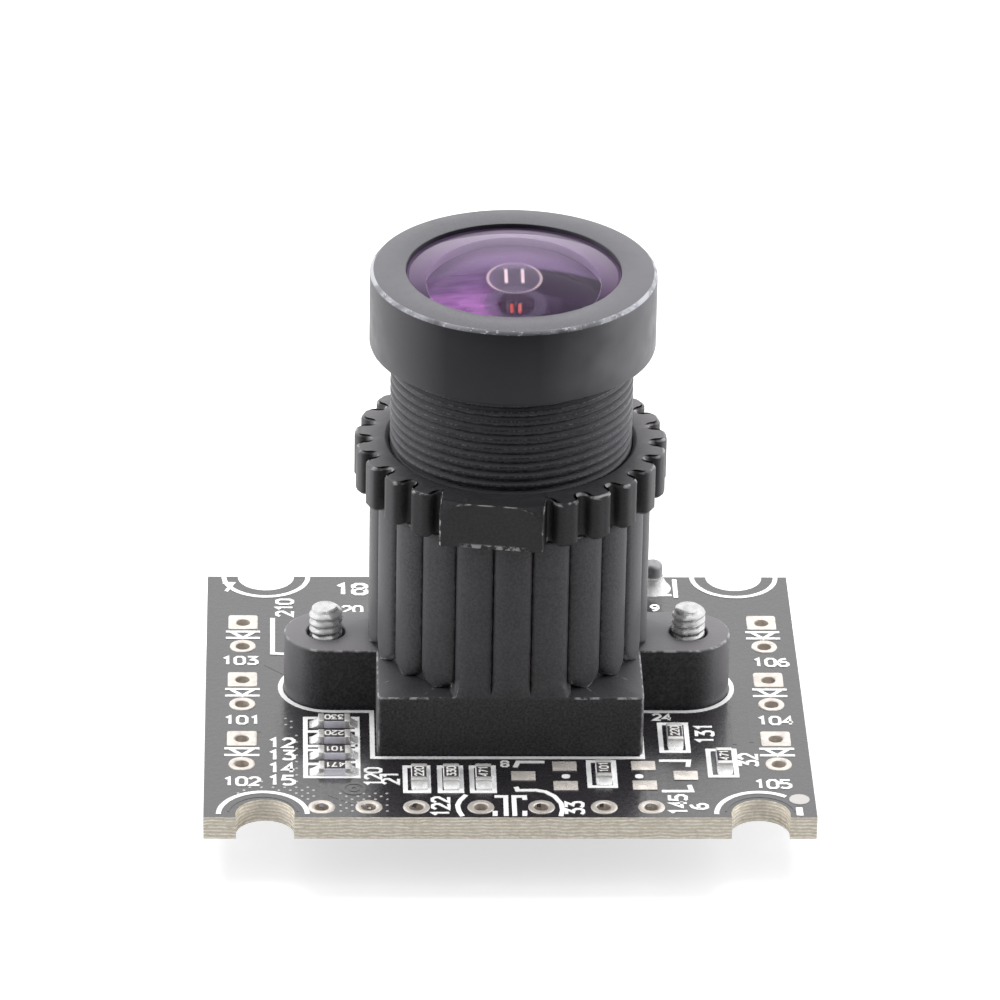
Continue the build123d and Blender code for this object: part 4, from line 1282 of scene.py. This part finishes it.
def sky_light(tree, level):
    """A white sky, brightest behind, above and at both sides, dim in front, and plain white to the camera."""
    def maths(kind, first, second):
        made = tree.nodes.new("ShaderNodeMath")
        made.operation = kind
        for source, target in zip((first, second), made.inputs):
            if isinstance(source, (int, float)):
                target.default_value = source
            else:
                tree.links.new(source, target)
        return made.outputs[0]

    way = tree.nodes.new("ShaderNodeSeparateXYZ")
    tree.links.new(tree.nodes.new("ShaderNodeTexCoord").outputs["Generated"], way.inputs[0])
    path = tree.nodes.new("ShaderNodeLightPath")
    ramp = tree.nodes.new("ShaderNodeMapRange")
    ramp.inputs["From Min"].default_value = -0.75
    ramp.inputs["From Max"].default_value = 0.55
    ramp.inputs["To Min"].default_value = 0.05
    ramp.inputs["To Max"].default_value = 1.1
    across = maths("MULTIPLY", maths("ABSOLUTE", way.outputs["X"], 0.0), 0.6)
    height = maths("MULTIPLY", way.outputs["Z"], 0.7)
    tree.links.new(maths("ADD", maths("ADD", way.outputs["Y"], height), across), ramp.inputs["Value"])
    lit = maths("MULTIPLY", ramp.outputs["Result"],
                maths("ADD", maths("MULTIPLY", path.outputs["Is Glossy Ray"], 1.0 - level), level))
    sky = tree.nodes["Background"]
    sky.inputs["Color"].default_value = (1, 1, 1, 1)
    tree.links.new(maths("MAXIMUM", lit, path.outputs["Is Camera Ray"]), sky.inputs["Strength"])


class WEBCAM_OT_stage(bpy.types.Operator):
    """Sets the floor, the lamps, the light all round and the camera"""
    bl_idname = "webcam.stage"
    bl_label = "Stage"

    def execute(self, context):
        settings = context.scene.webcam_stage
        scene = context.scene
        mesh = bpy.data.meshes.new("floor")
        half = 1.5
        mesh.from_pydata([(-half, -half, 0), (half, -half, 0), (half, half, 0), (-half, half, 0)], [],
                         [(0, 1, 2, 3)])
        floor = bpy.data.objects.new("floor", mesh)
        scene.collection.objects.link(floor)
        mesh.materials.append(floor_finish(tuple(settings.floor_colour)))
        centre = (0, 0, 12)
        level = settings.lamp_level
        lamps = [soft_box("left_lamp", (-260, 0, 90), centre, (240, 150), 0.75 * level),
                 soft_box("right_lamp", (260, 20, 90), centre, (240, 150), 0.85 * level),
                 soft_box("top_lamp", (0, 120, 330), centre, (300, 220), 1.6 * level)]
        for lamp in lamps:
            lamp.visible_glossy = False
        world = bpy.data.worlds.new("studio")
        scene.world = world
        world.use_nodes = True
        sky_light(world.node_tree, settings.sky_level)
        aim = Vector((-0.3485, 0.6, 14.858))
        back, turn = look_along(-2.025, 27.38, 1.036)
        camera = bpy.data.cameras.new("camera")
        camera.lens, camera.sensor_width = 261.37, 36.0
        camera.clip_start, camera.clip_end = 0.01, 10.0
        holder = bpy.data.objects.new("camera", camera)
        scene.collection.objects.link(holder)
        holder.matrix_world = Matrix.Translation((aim + back * 361.04) * MM) @ turn.to_4x4()
        scene.camera = holder
        scene.view_settings.view_transform = "Standard"
        return {"FINISHED"}


OPERATORS = (WEBCAM_OT_board, WEBCAM_OT_lands, WEBCAM_OT_print, WEBCAM_OT_mount, WEBCAM_OT_screws, WEBCAM_OT_barrel,
             WEBCAM_OT_glass, WEBCAM_OT_nut, WEBCAM_OT_chips, WEBCAM_OT_solder, WEBCAM_OT_underside,
             WEBCAM_OT_stage)
SETTINGS = {"webcam_board": BoardSettings, "webcam_mount": MountSettings, "webcam_lens": LensSettings,
            "webcam_stage": StageSettings}


class WEBCAM_PT_panel(bpy.types.Panel):
    """Lists the camera board's pieces"""
    bl_label = "Camera board"
    bl_space_type = "VIEW_3D"
    bl_region_type = "UI"
    bl_category = "Camera board"

    def draw(self, context):
        for operator in OPERATORS:
            self.layout.operator(operator.bl_idname)
        for name, group in SETTINGS.items():
            box_ = self.layout.box()
            for key in group.__annotations__:
                box_.prop(getattr(context.scene, name), key)


CLASSES = (*SETTINGS.values(), *OPERATORS, WEBCAM_PT_panel)


def register():
    for cls in CLASSES:
        bpy.utils.register_class(cls)
    for name, group in SETTINGS.items():
        setattr(bpy.types.Scene, name, bpy.props.PointerProperty(type=group))


def unregister():
    for name in SETTINGS:
        delattr(bpy.types.Scene, name)
    for cls in reversed(CLASSES):
        bpy.utils.unregister_class(cls)


def main():
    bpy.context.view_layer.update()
    register()
    for operator in OPERATORS:
        group, name = operator.bl_idname.split(".")
        getattr(getattr(bpy.ops, group), name)()


if __name__ == "__main__":
    main()
